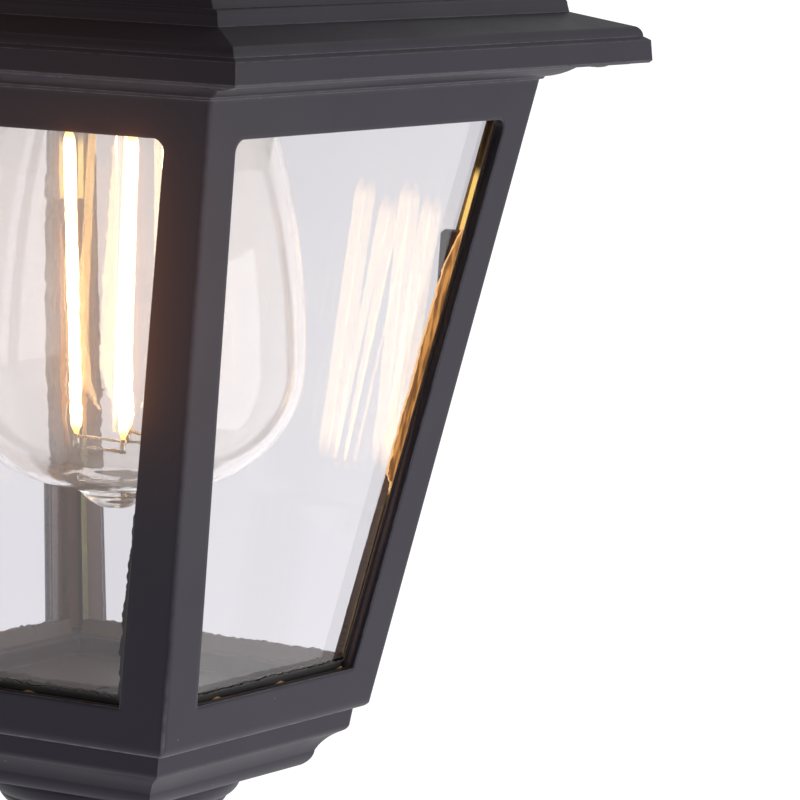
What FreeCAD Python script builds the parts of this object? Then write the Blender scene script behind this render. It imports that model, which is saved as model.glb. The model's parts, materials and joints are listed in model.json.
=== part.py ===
import FreeCAD, Part
import math
import os

V = FreeCAD.Vector
ALONG_X = V(1, 0, 0)
UP = V(0, 0, 1)
ORIGIN = V(0, 0, 0)

# Sag of a quarter round, as a share of its radius
QUARTER_SAG = 1 - math.sqrt(0.5)

# Frame: the wall is the plane Y = 0 with the light on its -Y side, Z is up, and the origin is
# the middle of the mounting strap's rear face. Sizes are in millimetres.
# The lantern's own levels are heights above the eaves, the foot of the ovolo under the brim.

# Fits
thread_gap = 0.1
slip_gap = 0.3
running_gap = 0.4

# Lantern place and arm
lantern_reach = 120.0
eaves_level = -60.0
arm_radius = 8.0
arm_wall = 1.5
crook_radius = 29.0
crook_level = 62.0
arm_foot_straight = 4.0
arm_tail = 2.0
rosette_radius = 19.0
rosette_lip_radius = 11.5
rosette_thickness = 8.0
rosette_edge = 2.0
rosette_dish = 1.6
rosette_lip_round = 0.4
lock_nut_flats = 25.0
lock_nut_thickness = 5.0

# Wall plate
plate_width = 76.0
plate_height = 136.0
plate_corner = 12.0
plate_depth = 14.0
plate_wall = 3.0
plate_edge_round = 5.0
field_margin = 8.0
field_depth = 6.0
field_edge_round = 3.0
gasket_thickness = 2.0
strap_width = 20.0
strap_length = 116.0
strap_thickness = 2.0
strap_corner = 5.0
wall_hole_spacing = 80.0
wall_hole_radius = 2.3
stud_spacing = 100.0
stud_radius = 2.0
stud_engagement = 4.5
cap_nut_flats = 8.0
cap_nut_height = 3.4
cap_nut_dome = 3.7

# Terminal block, earth screw and leads
block_height = 18.0
block_depth = 11.0
block_top = -16.0
pole_pitch = 8.0
pole_radius = 3.6
block_web = 6.0
terminal_screw_radius = 1.8
terminal_screw_height = 2.6
terminal_recess = 1.2
terminal_inset = 4.8
lead_radius = 0.9
lead_spread = 3.4
lead_bend = 5.0
earth_screw_level = 24.0
earth_screw_radius = 4.0
earth_screw_height = 2.6
earth_shank_radius = 2.0

# Roof, as half widths and levels
brim_half = 69.9
brim_bottom = 3.4
brim_edge = 4.25
brim_draft = 0.3
brim_chamfer = 0.45
brim_ledge_in = 1.4
brim_ledge_rise = 0.65
brim_step_run = 1.0
brim_step_rise = 1.8
brim_step_round = 0.28
second_tier_in = 11.6
second_tier_foot = 12.6
second_tier_rise = 2.8
second_tier_draft = 0.3
second_tier_round = 1.3
upper_foot_in = 1.6
upper_half = 26.5
upper_level = 76.0
upper_hollow = 5.0
collar_swell = 2.2
collar_height = 5.0
collar_round = 0.6
roof_top = 84.0
roof_top_plate = 4.0
roof_wall = 3.4
roof_throat_in = 19.0
skirt_wall = 2.6
skirt_depth = 2.5
roof_gasket_in = 13.0
roof_gasket_width = 4.0
roof_gasket_thickness = 1.5

# Roof cap, nipple and lamp holder
cap_foot_radius = 24.0
cap_neck_radius = 11.5
cap_height = 17.0
cap_socket_depth = 11.0
cap_foot_edge = 3.0
cap_foot_round = 0.6
cap_hollow = 3.2
cap_waist_in = 0.8
cap_lip = 2.4
cap_lip_round = 0.6
nipple_radius = 5.0
nipple_bore = 3.4
nipple_in_dome = 4.5
bush_length = 10.0
nipple_nut_flats = 17.0
nipple_nut_thickness = 5.0
dome_height = 8.7
dome_wall = 2.5
dome_top_radius = 9.5
dome_crown = 2.0
holder_radius = 19.5
holder_rim_round = 2.0
holder_rim_gap = 0.8
insert_radius = 16.0
insert_thickness = 4.9
contact_radius = 4.0
contact_thickness = 1.0
shell_wall = 0.6
shell_length = 24.0

# Lamp
lamp_length = 140.0
lamp_radius = 32.0
lamp_wide_above_tip = 28.0
lamp_shoulder_radius = 20.5
lamp_shoulder_above_tip = 85.2
lamp_neck_radius = 14.6
lamp_bottom_round = 23.4
lamp_bottom_fall = 5.0
lamp_pip_cap_radius = 6.2
lamp_pip_cap_height = 2.6
lamp_glass_wall = 0.9
lamp_cap_radius = 13.1
lamp_cap_wall = 0.5
lamp_cap_length = 23.5
lamp_cap_shoulder = 1.0
lamp_insulator_height = 2.1
lamp_insulator_foot = 11.0
lamp_tip_radius = 4.8
lamp_tip_height = 0.9
lamp_tuck = 7.0
stem_flare_hollow = 0.8
stem_radius = 4.2
stem_press_level = 6.0
stem_rod_radius = 1.4
filament_count = 4
filament_radius = 0.9
filament_end_round = 0.8
filament_length = 57.4
filament_low_above_tip = 13.9
filament_top_ring = 10.2
filament_low_ring = 8.9
filament_top_shift = -0.8
filament_low_shift = 0.55
filament_turn = -58.2
filament_twist = 8.6
crimp_length = 2.6
crimp_radius = 0.6
wire_radius = 0.3

# Cage, as half widths and levels below the eaves
cage_top_in = 15.15
cage_bottom_half = 34.15
cage_height = 118.3
cage_wall = 1.9
post_round = 0.8
rail_lip = 1.8
eaves_lip = 0.5
ovolo_in = 9.5
ovolo_height = 3.05
ovolo_round = 0.5
flange_edge_gap = 0.5
window_top = 7.15
window_corner = 2.0
bottom_rail = 8.65
post_wing_top = 8.75
post_wing_bottom = 9.9
curb_height = 7.8
curb_width = 7.0
floor_thickness = 4.3
cage_screw_inset = 7.7
cage_screw_radius = 1.9
cage_screw_head_radius = 2.5
cage_screw_head_height = 0.7
cage_screw_bite = 3.6

# Panes, seals, pads and clips
seal_thickness = 0.5
seal_show = 0.9
seal_foot = 2.2
seal_lap = 0.3
pane_thickness = 3.0
pane_corner_gap = 1.9
pane_top = 2.5
pad_half = 2.1
pad_height = 1.1
pad_depth = 1.5
pad_spacing = 20.6
pad_offset = 4.4
pads_per_pane = 3
clip_top = 28.0
clip_height = 14.0
clip_reach = 3.5
clip_foot_reach = 1.0
clip_edge = 0.8
clip_peg_radius = 1.0
clip_peg_drop = 4.5
clip_peg_bite = 2.5
corner_rib = 3.0
corner_rib_nose = 1.2

# Base tray and finial
base_top_in = 2.2
base_fascia_draft = 0.45
base_fascia_height = 3.4
base_edge_in = 0.9
base_edge_drop = 1.05
base_edge_round = 0.15
base_cove_hollow = 0.5
base_cove_run = 3.7
base_cove_depth = 8.1
base_foot_run = 1.9
base_foot_round = 0.45
base_depth = 10.9
base_wall = 3.0
base_boss_radius = 9.0
finial_radius = 23.6
finial_bead_height = 3.65
finial_bead_edge = 1.0
finial_bead_in = 2.3
finial_bead_round = 0.47
finial_second_radius = 21.1
finial_second_height = 2.6
finial_second_edge = 0.6
finial_second_in = 2.6
finial_second_round = 0.35
finial_neck_radius = 7.5
finial_neck_level = 14.5
finial_neck_hollow = 2.4
finial_ring_radius = 10.5
finial_ring_height = 4.0
finial_ring_round = 0.8
finial_drop_neck = 6.5
finial_drop_shoulder = 1.2
finial_drop_radius = 10.0
finial_drop_widest = 9.5
finial_drop_height = 21.0
finial_thread_depth = 12.0
finial_stud_radius = 3.0

# Places worked out from the sizes above
plate_rear = -gasket_thickness
plate_front = plate_rear - plate_depth
field_front = plate_front - field_depth
field_inside = field_front + plate_wall
strap_front = -strap_thickness
arm_start = field_inside + lock_nut_thickness + arm_tail
riser_y = -lantern_reach + 2 * crook_radius
rosette_front = field_front - rosette_thickness
foot_radius = rosette_front - arm_foot_straight - riser_y
crook_top = crook_level + crook_radius
arm_bore = arm_radius - arm_wall
lantern_at = V(0, -lantern_reach, eaves_level)

brim_top = brim_bottom + brim_edge
brim_inside = brim_bottom + skirt_depth
second_tier_half = brim_half - second_tier_in
roof_throat_half = brim_half - roof_throat_in
roof_gasket_half = brim_half - roof_gasket_in
collar_foot = upper_level
collar_top = collar_foot + collar_height
roof_ceiling = roof_top - roof_top_plate
cap_top = roof_top + cap_height
arm_end = cap_top - cap_socket_depth
nut_bottom = roof_ceiling - nipple_nut_thickness
dome_top = nut_bottom - slip_gap
dome_bottom = dome_top - dome_height
insert_bottom = dome_bottom - insert_thickness
contact_bottom = insert_bottom - contact_thickness
nipple_bottom = dome_top - nipple_in_dome
shell_bore = lamp_cap_radius + running_gap
shell_radius = shell_bore + shell_wall
holder_bore = shell_radius + slip_gap

lamp_top = contact_bottom - slip_gap
lamp_tip = lamp_top - lamp_length
lamp_cap_top = lamp_top - lamp_tip_height - lamp_insulator_height
lamp_cap_bottom = lamp_cap_top - lamp_cap_length
holder_bottom = lamp_cap_bottom + holder_rim_gap
lamp_tuck_radius = lamp_cap_radius - lamp_cap_wall - slip_gap
lamp_tuck_bore = lamp_tuck_radius - lamp_glass_wall
stem_flare_radius = lamp_tuck_bore - slip_gap

cage_top_half = brim_half - cage_top_in
ovolo_half = brim_half - ovolo_in
taper = math.atan2(cage_top_half - cage_bottom_half, cage_height)
window_bottom = cage_height - bottom_rail
curb_level = cage_height - curb_height
floor_level = cage_height - floor_thickness
flange_top = brim_inside - slip_gap
flange_half = brim_half - skirt_wall - flange_edge_gap
pane_bottom = curb_level - seal_foot
pane_outside = cage_wall + seal_thickness
pane_inside = pane_outside + pane_thickness
base_half = cage_bottom_half - base_top_in
base_fascia_half = base_half - base_fascia_draft
base_bottom = cage_height + base_depth
finial_top = -base_bottom


# Half width of the cage at a level, measured a depth in from its outer face
def cage_half(level, depth=0.0):
    outer = cage_top_half + level * math.tan(taper)
    return outer - depth / math.cos(taper)


# Half width of a window at a level: the face less the wing of the post
def window_half(level):
    share = (-level - window_top) / (window_bottom - window_top)
    wing = post_wing_top + share * (post_wing_bottom - post_wing_top)
    return cage_half(level) - wing


# Middle of an arc from one point to the next that leaves its chord by sag,
# to the left of the way it is drawn
def arc_middle(start, end, sag):
    chord = end - start
    left = V(-chord.z, 0, chord.x).normalize()
    return (start + end) * 0.5 + left * sag


# Sag of the arc from the rim to the crown of a round cap
def cap_sag(radius, height):
    sphere = (radius * radius + height * height) / (2 * height)
    return sphere * (1 - math.cos(math.atan2(radius, sphere - height) / 2))


# Sag of an arc with this chord that turns by this angle
def turn_sag(start, end, turn):
    return math.hypot(end[0] - start[0], end[1] - start[1]) / 2 * math.tan(turn / 4)


# Edges in the XZ plane through points (x, z), where a third number makes the stretch
# that ends there an arc with that sag
def outline(points):
    edges = []
    here = V(points[0][0], 0, points[0][1])
    for step in points[1:]:
        there = V(step[0], 0, step[1])
        if len(step) == 3:
            edges.append(Part.Arc(here, arc_middle(here, there, step[2]), there).toShape())
        else:
            edges.append(Part.makeLine(here, there))
        here = there
    return edges


# The same points drawn the other way
def drawn_back(points):
    back = [points[-1][:2]]
    for here, there in zip(points[-2::-1], points[:0:-1]):
        back.append(here[:2] + tuple(-sag for sag in there[2:]))
    return back


# Solid turned about the Z axis from a closed outline of (radius, z) points
def turned(points):
    start = points[0][:2]
    loop = points if points[-1][:2] == start else points + [start]
    return Part.Face(Part.Wire(outline(loop))).revolve(ORIGIN, UP, 360)


# Solid with a square plan whose half width follows an outline drawn upwards
def moulded_square(points):
    right = outline(points)
    left = [edge.mirror(ORIGIN, ALONG_X) for edge in right]
    low = points[0]
    high = points[-1]
    bottom = Part.makeLine(V(-low[0], 0, low[1]), V(low[0], 0, low[1]))
    top = Part.makeLine(V(-high[0], 0, high[1]), V(high[0], 0, high[1]))
    wire = Part.Wire(Part.__sortEdges__(right + left + [bottom, top]))
    span = 2 * max(point[0] for point in points)
    bar = Part.Face(wire).extrude(V(0, 2 * span, 0))
    bar.translate(V(0, -span, 0))
    across = bar.copy()
    across.rotate(ORIGIN, UP, 90)
    return bar.common(across)


# Flat rectangle at a level, from corner to corner
def level_rectangle(x0, y0, x1, y1, z):
    return Part.makePolygon([V(x0, y0, z), V(x1, y0, z), V(x1, y1, z), V(x0, y1, z), V(x0, y0, z)])


# Straight-sided solid between two level wires
def tapered(low, high):
    return Part.makeLoft([low, high], True, True)


# Square frustum that follows the cage, a depth in from its outer face
def cage_frustum(low, high, depth):
    wires = []
    for level in (low, high):
        half = cage_half(level, depth)
        wires.append(level_rectangle(-half, -half, half, half, level))
    return tapered(wires[0], wires[1])


# Rounded rectangle in the XZ plane
def rounded_rectangle(width, height, corner):
    x = width / 2
    z = height / 2
    bulge = QUARTER_SAG * corner
    edges = []
    corners = [(x, z, 1, 1), (-x, z, -1, 1), (-x, -z, -1, -1), (x, -z, 1, -1)]
    ends = []
    for cx, cz, sx, sz in corners:
        along = V(cx - sx * corner, 0, cz)
        middle = V(cx - sx * bulge, 0, cz - sz * bulge)
        beside = V(cx, 0, cz - sz * corner)
        pair = (beside, along) if sx == sz else (along, beside)
        edges.append(Part.Arc(pair[0], middle, pair[1]).toShape())
        ends.append(pair)
    for index in range(4):
        edges.append(Part.makeLine(ends[index][1], ends[(index + 1) % 4][0]))
    return Part.Wire(Part.__sortEdges__(edges))


# Rounded rectangle pushed along Y
def rounded_plate(width, height, corner, y_from, y_to):
    plate = Part.Face(rounded_rectangle(width, height, corner)).extrude(V(0, y_to - y_from, 0))
    plate.translate(V(0, y_from, 0))
    return plate


# Rounded square wire at a level
def rounded_square(half, corner, level):
    rim = rounded_rectangle(2 * half, 2 * half, corner)
    rim.rotate(ORIGIN, ALONG_X, 90)
    rim.translate(V(0, 0, level))
    return rim


# Round off the edges of a plate's front face
def round_front(plate, front, radius):
    rim = [edge for edge in plate.Edges if all(abs(vertex.Y - front) < 1e-6 for vertex in edge.Vertexes)]
    return plate.makeFillet(radius, rim)


# Hexagonal prism on the Z axis, from the distance across its flats
def hexagon(flats, low, high):
    radius = flats / math.sqrt(3)
    points = [V(radius * math.cos(math.radians(60 * k)), radius * math.sin(math.radians(60 * k)), low)
              for k in range(7)]
    return Part.Face(Part.makePolygon(points)).extrude(V(0, 0, high - low))


# Round bar on the Z axis
def round_bar(radius, low, high):
    return Part.makeCylinder(radius, high - low, V(0, 0, low))


# Ring on the Z axis
def ring(bore, radius, low, high):
    return round_bar(radius, low, high).cut(round_bar(bore, low, high))


# Turn a solid made on the Z axis so that its top faces away from the wall
def facing_front(shape):
    shape.rotate(ORIGIN, ALONG_X, 90)
    return shape


# Wire of straight runs joined by tangent arcs
def bent_path(points, radii):
    edges = []
    here = points[0]
    for index, radius in enumerate(radii):
        corner = points[index + 1]
        back = (points[index] - corner).normalize()
        ahead = (points[index + 2] - corner).normalize()
        half_angle = back.getAngle(ahead) / 2
        tangent = radius / math.tan(half_angle)
        start = corner + back * tangent
        end = corner + ahead * tangent
        inward = (back + ahead).normalize()
        middle = corner + inward * (radius / math.sin(half_angle) - radius)
        if here.distanceToPoint(start) > 1e-6:
            edges.append(Part.makeLine(here, start))
        edges.append(Part.Arc(start, middle, end).toShape())
        here = end
    edges.append(Part.makeLine(here, points[-1]))
    return Part.Wire(edges)


# Round rod along a path
def rod(path, radius):
    start = path.Edges[0].valueAt(path.Edges[0].FirstParameter)
    heading = path.Edges[0].tangentAt(path.Edges[0].FirstParameter)
    circle = Part.Wire(Part.Circle(start, heading, radius).toShape())
    return path.makePipeShell([circle], True, False)


# Copies of a solid turned a quarter turn apart about the Z axis
def four_round(shape):
    copies = []
    for quarter in range(4):
        copy = shape.copy()
        copy.rotate(ORIGIN, UP, 90 * quarter)
        copies.append(copy)
    return copies


# Cut every tool out of a shape
def cut_all(shape, tools):
    for tool in tools:
        shape = shape.cut(tool)
    return shape


# One node from one or more solids
def export(name, shapes, place=ORIGIN):
    group = Part.makeCompound(shapes) if len(shapes) > 1 else shapes[0]
    group.translate(place)
    group.exportStep("parts/" + name + ".step")


# Mounting strap: a flat bar with two plain holes for the wall and two tapped ones for the studs
def mounting_strap():
    strap = rounded_plate(strap_width, strap_length, strap_corner, strap_front, 0)
    holes = []
    for side in (-1, 1):
        for spacing, radius in ((wall_hole_spacing, wall_hole_radius),
                                (stud_spacing, stud_radius + thread_gap)):
            hole = facing_front(round_bar(radius, -strap_thickness, 2 * strap_thickness))
            hole.translate(V(0, 0, side * spacing / 2))
            holes.append(hole)
    earth = facing_front(round_bar(earth_shank_radius + thread_gap, -strap_thickness, 2 * strap_thickness))
    earth.translate(V(0, 0, earth_screw_level))
    return cut_all(strap, holes + [earth])


# Two studs from the strap through the plate
def plate_studs():
    studs = []
    for side in (-1, 1):
        stud = facing_front(round_bar(stud_radius, 0, -field_front + stud_engagement))
        stud.translate(V(0, 0, side * stud_spacing / 2))
        studs.append(stud)
    return studs


# Wall plate: a two-tier dish, open towards the wall
def back_plate():
    tier = round_front(rounded_plate(plate_width, plate_height, plate_corner, plate_front, plate_rear),
                       plate_front, plate_edge_round)
    field_width = plate_width - 2 * field_margin
    field_height = plate_height - 2 * field_margin
    field_corner = plate_corner - field_margin / 2
    field = round_front(rounded_plate(field_width, field_height, field_corner, field_front, plate_front),
                        field_front, field_edge_round)
    tier_inside = plate_front + plate_wall
    wide = rounded_plate(plate_width - 2 * plate_wall, plate_height - 2 * plate_wall,
                         plate_corner - plate_wall, tier_inside, plate_rear)
    deep = rounded_plate(field_width - 2 * plate_wall, field_height - 2 * plate_wall,
                         field_corner - plate_wall, field_inside, tier_inside)
    arm_hole = facing_front(round_bar(arm_radius + slip_gap, 0, -2 * field_front))
    stud_holes = []
    for side in (-1, 1):
        hole = facing_front(round_bar(stud_radius + slip_gap, 0, -2 * field_front))
        hole.translate(V(0, 0, side * stud_spacing / 2))
        stud_holes.append(hole)
    return cut_all(tier.fuse(field).removeSplitter(), [wide, deep, arm_hole] + stud_holes)


# Foam gasket under the plate's rim
def plate_gasket():
    outer = rounded_plate(plate_width, plate_height, plate_corner, plate_rear, 0)
    inner = rounded_plate(plate_width - 2 * plate_wall, plate_height - 2 * plate_wall,
                          plate_corner - plate_wall, plate_rear, 0)
    return outer.cut(inner)


# Two domed nuts on the studs
def cap_nuts():
    nuts = []
    blind = round_bar(stud_radius + thread_gap, 0, stud_engagement + slip_gap)
    dome = turned([(0, cap_nut_height), (cap_nut_dome, cap_nut_height),
                   (0, cap_nut_height + cap_nut_dome, -cap_sag(cap_nut_dome, cap_nut_dome))])
    nut = facing_front(hexagon(cap_nut_flats, 0, cap_nut_height).fuse(dome).cut(blind))
    for side in (-1, 1):
        copy = nut.copy()
        copy.translate(V(0, field_front, side * stud_spacing / 2))
        nuts.append(copy)
    return nuts


# Middle of the wire channel of each pole of the terminal block
def pole_places():
    return [V(pole * pole_pitch, strap_front - block_depth / 2, block_top) for pole in (-1, 0, 1)]


# Where a lead starts over a pole, high enough for its slanting end to clear the block
def lead_start(pole):
    return pole + UP * (lead_radius / 2)


# Screw axes of the terminal block: two to a pole, facing forward
def terminal_screw_places():
    places = []
    for pole in pole_places():
        for level in (block_top - terminal_inset, block_top - block_height + terminal_inset):
            places.append(V(pole.x, strap_front - block_depth, level))
    return places


# Terminal block: three barrels joined by a web, with a screw well over each clamp
def terminal_block():
    web = Part.makeBox(2 * pole_pitch, block_web, block_height,
                       V(-pole_pitch, strap_front - block_web, block_top - block_height))
    block = web
    for pole in pole_places():
        section = Part.makeBox(2 * pole_radius, block_depth, block_height,
                               V(pole.x - pole_radius, strap_front - block_depth, block_top - block_height))
        uprights = [edge for edge in section.Edges
                    if abs(edge.tangentAt(0).z) > 0.5 and edge.CenterOfMass.y < strap_front - block_web]
        block = block.fuse(section.makeFillet(pole_radius / 2, uprights))
    wells = []
    well_depth = terminal_screw_height + terminal_recess
    for place in terminal_screw_places():
        well = facing_front(round_bar(terminal_screw_radius + slip_gap, -well_depth, terminal_recess))
        well.translate(place)
        wells.append(well)
    return cut_all(block.removeSplitter(), wells)


# Clamp screws at the bottom of their wells
def terminal_screws():
    screws = []
    for place in terminal_screw_places():
        low = -terminal_screw_height - terminal_recess
        screw = facing_front(round_bar(terminal_screw_radius, low, low + terminal_screw_height))
        screw.translate(place)
        screws.append(screw)
    return screws


# Earth screw on the strap
def earth_screw():
    head = round_bar(earth_screw_radius, strap_thickness, strap_thickness + earth_screw_height)
    shank = round_bar(earth_shank_radius, 0, strap_thickness)
    screw = facing_front(head.fuse(shank))
    screw.translate(V(0, 0, earth_screw_level))
    return screw


# Corners of the arm's route from a start behind the plate to an end above the lantern
def arm_route(x, start_y, end_z):
    return [V(x, start_y, 0), V(x, riser_y, 0), V(x, riser_y, crook_top),
            V(x, -lantern_reach, crook_top), V(x, -lantern_reach, end_z)]


# Swan-neck tube
def arm():
    route = arm_route(0, arm_start, eaves_level + arm_end)
    radii = [foot_radius, crook_radius, crook_radius]
    path = bent_path(route, radii)
    return rod(path, arm_radius).cut(rod(path, arm_bore))


# Turned rosette where the arm leaves the plate
def arm_rosette():
    bore = arm_radius + thread_gap
    step = rosette_thickness - rosette_edge
    rosette = turned([(bore, 0), (rosette_radius, 0), (rosette_radius, rosette_edge),
                      (rosette_lip_radius, step, rosette_dish),
                      (rosette_lip_radius - rosette_edge / 2, rosette_thickness, -rosette_lip_round),
                      (bore, rosette_thickness)])
    rosette = facing_front(rosette)
    rosette.translate(V(0, field_front, 0))
    return rosette


# Hexagonal lock nut on the arm, inside the plate
def arm_lock_nut():
    nut = hexagon(lock_nut_flats, 0, lock_nut_thickness).cut(
        round_bar(arm_radius + thread_gap, 0, lock_nut_thickness))
    nut = facing_front(nut)
    nut.translate(V(0, field_inside + lock_nut_thickness, 0))
    return nut


# Lead from the terminal block through the arm to the lamp holder
def lamp_lead(pole, side):
    x = side * lead_spread / 2
    route = arm_route(x, pole.y, eaves_level + dome_bottom)
    path = bent_path([lead_start(pole)] + route, [lead_bend, foot_radius, crook_radius, crook_radius])
    return rod(path, lead_radius)


# Earth lead from the terminal block to its screw on the strap
def earth_lead(pole):
    screw_y = strap_front - earth_screw_height / 2
    reach = earth_screw_radius + lead_radius
    bend = V(pole.x, pole.y, earth_screw_level - 2 * lead_bend)
    path = bent_path([lead_start(pole), bend, V(reach, screw_y, earth_screw_level)], [lead_bend])
    return rod(path, lead_radius)


# Brass bush in the end of the arm
def arm_bush():
    return ring(nipple_radius + thread_gap, arm_bore, arm_end, arm_end + bush_length)


# Hollow threaded stem that carries the lantern
def stem_nipple():
    return ring(nipple_bore, nipple_radius, nipple_bottom, arm_end + bush_length)


# Nut that clamps the roof to the stem
def nipple_nut():
    nut = hexagon(nipple_nut_flats, nut_bottom, roof_ceiling)
    return nut.cut(round_bar(nipple_radius + thread_gap, nut_bottom, roof_ceiling))


# Turned cap between roof and arm
def roof_cap():
    bore = nipple_radius + slip_gap
    socket = arm_radius + thread_gap
    shoulder = roof_top + cap_foot_edge
    lip_foot = cap_top - cap_lip
    return turned([(bore, roof_top), (cap_foot_radius, roof_top),
                   (cap_foot_radius, shoulder, -cap_foot_round),
                   (cap_neck_radius - cap_waist_in, lip_foot, cap_hollow), (cap_neck_radius, lip_foot),
                   (cap_neck_radius, cap_top, -cap_lip_round), (socket, cap_top),
                   (socket, arm_end), (bore, arm_end)])


# Roof: a stepped, hollow casting with a square plan
def roof():
    ledge_half = brim_half - brim_ledge_in
    ledge_top = brim_top + brim_ledge_rise
    second_top = second_tier_foot + second_tier_rise
    second_edge = second_tier_half - second_tier_draft
    second_inner = second_edge - second_tier_round
    collar = upper_half + collar_swell
    outer = moulded_square([
        (brim_half - brim_chamfer, brim_bottom), (brim_half, brim_bottom + brim_chamfer),
        (brim_half - brim_draft, brim_top), (ledge_half, ledge_top),
        (ledge_half - brim_step_run, ledge_top + brim_step_rise, -brim_step_round),
        (second_tier_half, second_tier_foot), (second_edge, second_top - second_tier_round),
        (second_inner, second_top, -QUARTER_SAG * second_tier_round),
        (second_inner - upper_foot_in, second_top),
        (upper_half, collar_foot, upper_hollow), (collar, collar_foot),
        (collar, collar_top, -collar_round), (upper_half, collar_top), (upper_half, roof_top)])
    inner_foot = second_top - roof_wall
    throat_top = second_inner - upper_foot_in - roof_wall
    ceiling_half = upper_half - roof_wall
    hollow = moulded_square([
        (roof_throat_half, brim_inside), (roof_throat_half, inner_foot),
        (min(roof_throat_half, throat_top), inner_foot + slip_gap),
        (ceiling_half, collar_foot, upper_hollow), (ceiling_half, roof_ceiling)])
    rebate_half = brim_half - skirt_wall
    rebate = moulded_square([(rebate_half, brim_bottom), (rebate_half, brim_inside)])
    groove_outer = roof_gasket_half + slip_gap
    groove_inner = roof_gasket_half - roof_gasket_width - slip_gap
    groove_top = brim_inside + roof_gasket_thickness
    groove = moulded_square([(groove_outer, brim_inside), (groove_outer, groove_top)]).cut(
        moulded_square([(groove_inner, brim_inside), (groove_inner, groove_top)]))
    stem_hole = round_bar(nipple_radius + slip_gap, roof_ceiling, roof_top)
    screw_hole = round_bar(cage_screw_radius + slip_gap, brim_inside,
                           brim_inside + cage_screw_bite + slip_gap)
    screw_hole.translate(V(brim_half - cage_screw_inset, brim_half - cage_screw_inset, 0))
    return cut_all(outer, [hollow, rebate, groove, stem_hole] + four_round(screw_hole))


# Square rubber gasket in the roof's groove
def roof_gasket():
    inner = roof_gasket_half - roof_gasket_width
    top = brim_inside + roof_gasket_thickness
    return moulded_square([(roof_gasket_half, brim_inside), (roof_gasket_half, top)]).cut(
        moulded_square([(inner, brim_inside), (inner, top)]))


# Domed cap of the lamp holder
def holder_dome():
    hole = nipple_radius + thread_gap
    shell_top = dome_top - dome_wall
    return turned([(holder_radius - dome_wall, dome_bottom), (holder_radius, dome_bottom),
                   (dome_top_radius, dome_top, -dome_crown), (hole, dome_top), (hole, shell_top),
                   (dome_top_radius - dome_wall, shell_top),
                   (holder_radius - dome_wall, dome_bottom, dome_crown)])


# Skirt of the lamp holder, with a shoulder for the insert
def holder_body():
    seat = insert_radius + thread_gap
    return turned([(holder_bore, holder_bottom), (holder_radius - holder_rim_round, holder_bottom),
                   (holder_radius, holder_bottom + holder_rim_round, -QUARTER_SAG * holder_rim_round),
                   (holder_radius, dome_bottom), (seat, dome_bottom), (seat, insert_bottom),
                   (holder_bore, insert_bottom)])


# Ceramic insert of the lamp holder
def holder_insert():
    return round_bar(insert_radius, insert_bottom, dome_bottom)


# Threaded brass shell of the lamp holder
def holder_shell():
    return ring(shell_bore, shell_radius, insert_bottom - shell_length, insert_bottom)


# Centre contact of the lamp holder
def centre_contact():
    return round_bar(contact_radius, contact_bottom, insert_bottom)


# Solder button at the lamp's top
def lamp_tip_contact():
    foot = lamp_top - lamp_tip_height
    crown = -cap_sag(lamp_tip_radius, lamp_tip_height)
    return turned([(0, foot), (lamp_tip_radius, foot), (0, lamp_top, crown)])


# Insulating glass cone under the solder button
def lamp_insulator():
    foot = lamp_cap_top
    top = foot + lamp_insulator_height
    return turned([(0, foot), (lamp_insulator_foot, foot), (lamp_tip_radius, top), (0, top)])


# Plain sleeve of the lamp's screw cap
def lamp_cap():
    inner = lamp_cap_radius - lamp_cap_wall
    shoulder = lamp_cap_top - lamp_cap_shoulder
    return turned([(inner, lamp_cap_bottom), (lamp_cap_radius, lamp_cap_bottom), (lamp_cap_radius, shoulder),
                   (lamp_insulator_foot, lamp_cap_top), (lamp_insulator_foot - lamp_cap_wall, lamp_cap_top),
                   (inner, shoulder - lamp_cap_wall)])


# Outline of the lamp's glass from its neck down to the root of its pip, a depth in from its outside
def lamp_outline(depth):
    wide_level = lamp_tip + lamp_wide_above_tip
    shoulder_level = lamp_tip + lamp_shoulder_above_tip
    lean = 2 * math.atan2(lamp_radius - lamp_shoulder_radius, shoulder_level - wide_level)
    fall = math.radians(lamp_bottom_fall)
    bottom_round = lamp_bottom_round - depth
    neck = (lamp_neck_radius - depth, lamp_cap_bottom)
    shoulder = (lamp_shoulder_radius - depth * math.cos(lean), shoulder_level - depth * math.sin(lean))
    wide = (lamp_radius - depth, wide_level)
    root = (wide[0] - bottom_round * (1 - math.sin(fall)), wide_level - bottom_round * math.cos(fall))
    neck_lean = math.atan2(shoulder[0] - neck[0], neck[1] - shoulder[1])
    return [neck, shoulder + (-turn_sag(neck, shoulder, 2 * (lean - neck_lean)),),
            wide + (turn_sag(shoulder, wide, lean),),
            root + (turn_sag(wide, root, math.pi / 2 - fall),)]


# Pip under the lamp, from its root: a hollow flank into a round cap
def lamp_pip(root):
    edge = (lamp_pip_cap_radius, lamp_tip + lamp_pip_cap_height)
    flank_slope = math.atan2(root[1] - edge[1], root[0] - edge[0])
    turn = 2 * (flank_slope - math.radians(lamp_bottom_fall))
    return [edge + (-turn_sag(root, edge, turn),),
            (0, lamp_tip, cap_sag(lamp_pip_cap_radius, lamp_pip_cap_height))]


# Thin-walled glass of the lamp, tucked into the cap at its neck
def lamp_glass():
    tuck_top = lamp_cap_bottom + lamp_tuck
    outer = lamp_outline(0)
    inner = drawn_back(lamp_outline(lamp_glass_wall))
    return turned(outer + lamp_pip(outer[-1]) + [(0, inner[0][1])] + inner + [
        (lamp_tuck_bore, lamp_cap_bottom), (lamp_tuck_bore, tuck_top),
        (lamp_tuck_radius, tuck_top), (lamp_tuck_radius, lamp_cap_bottom)])


# Level of the filaments' lower ends
def filament_low():
    return lamp_tip + filament_low_above_tip


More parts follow.
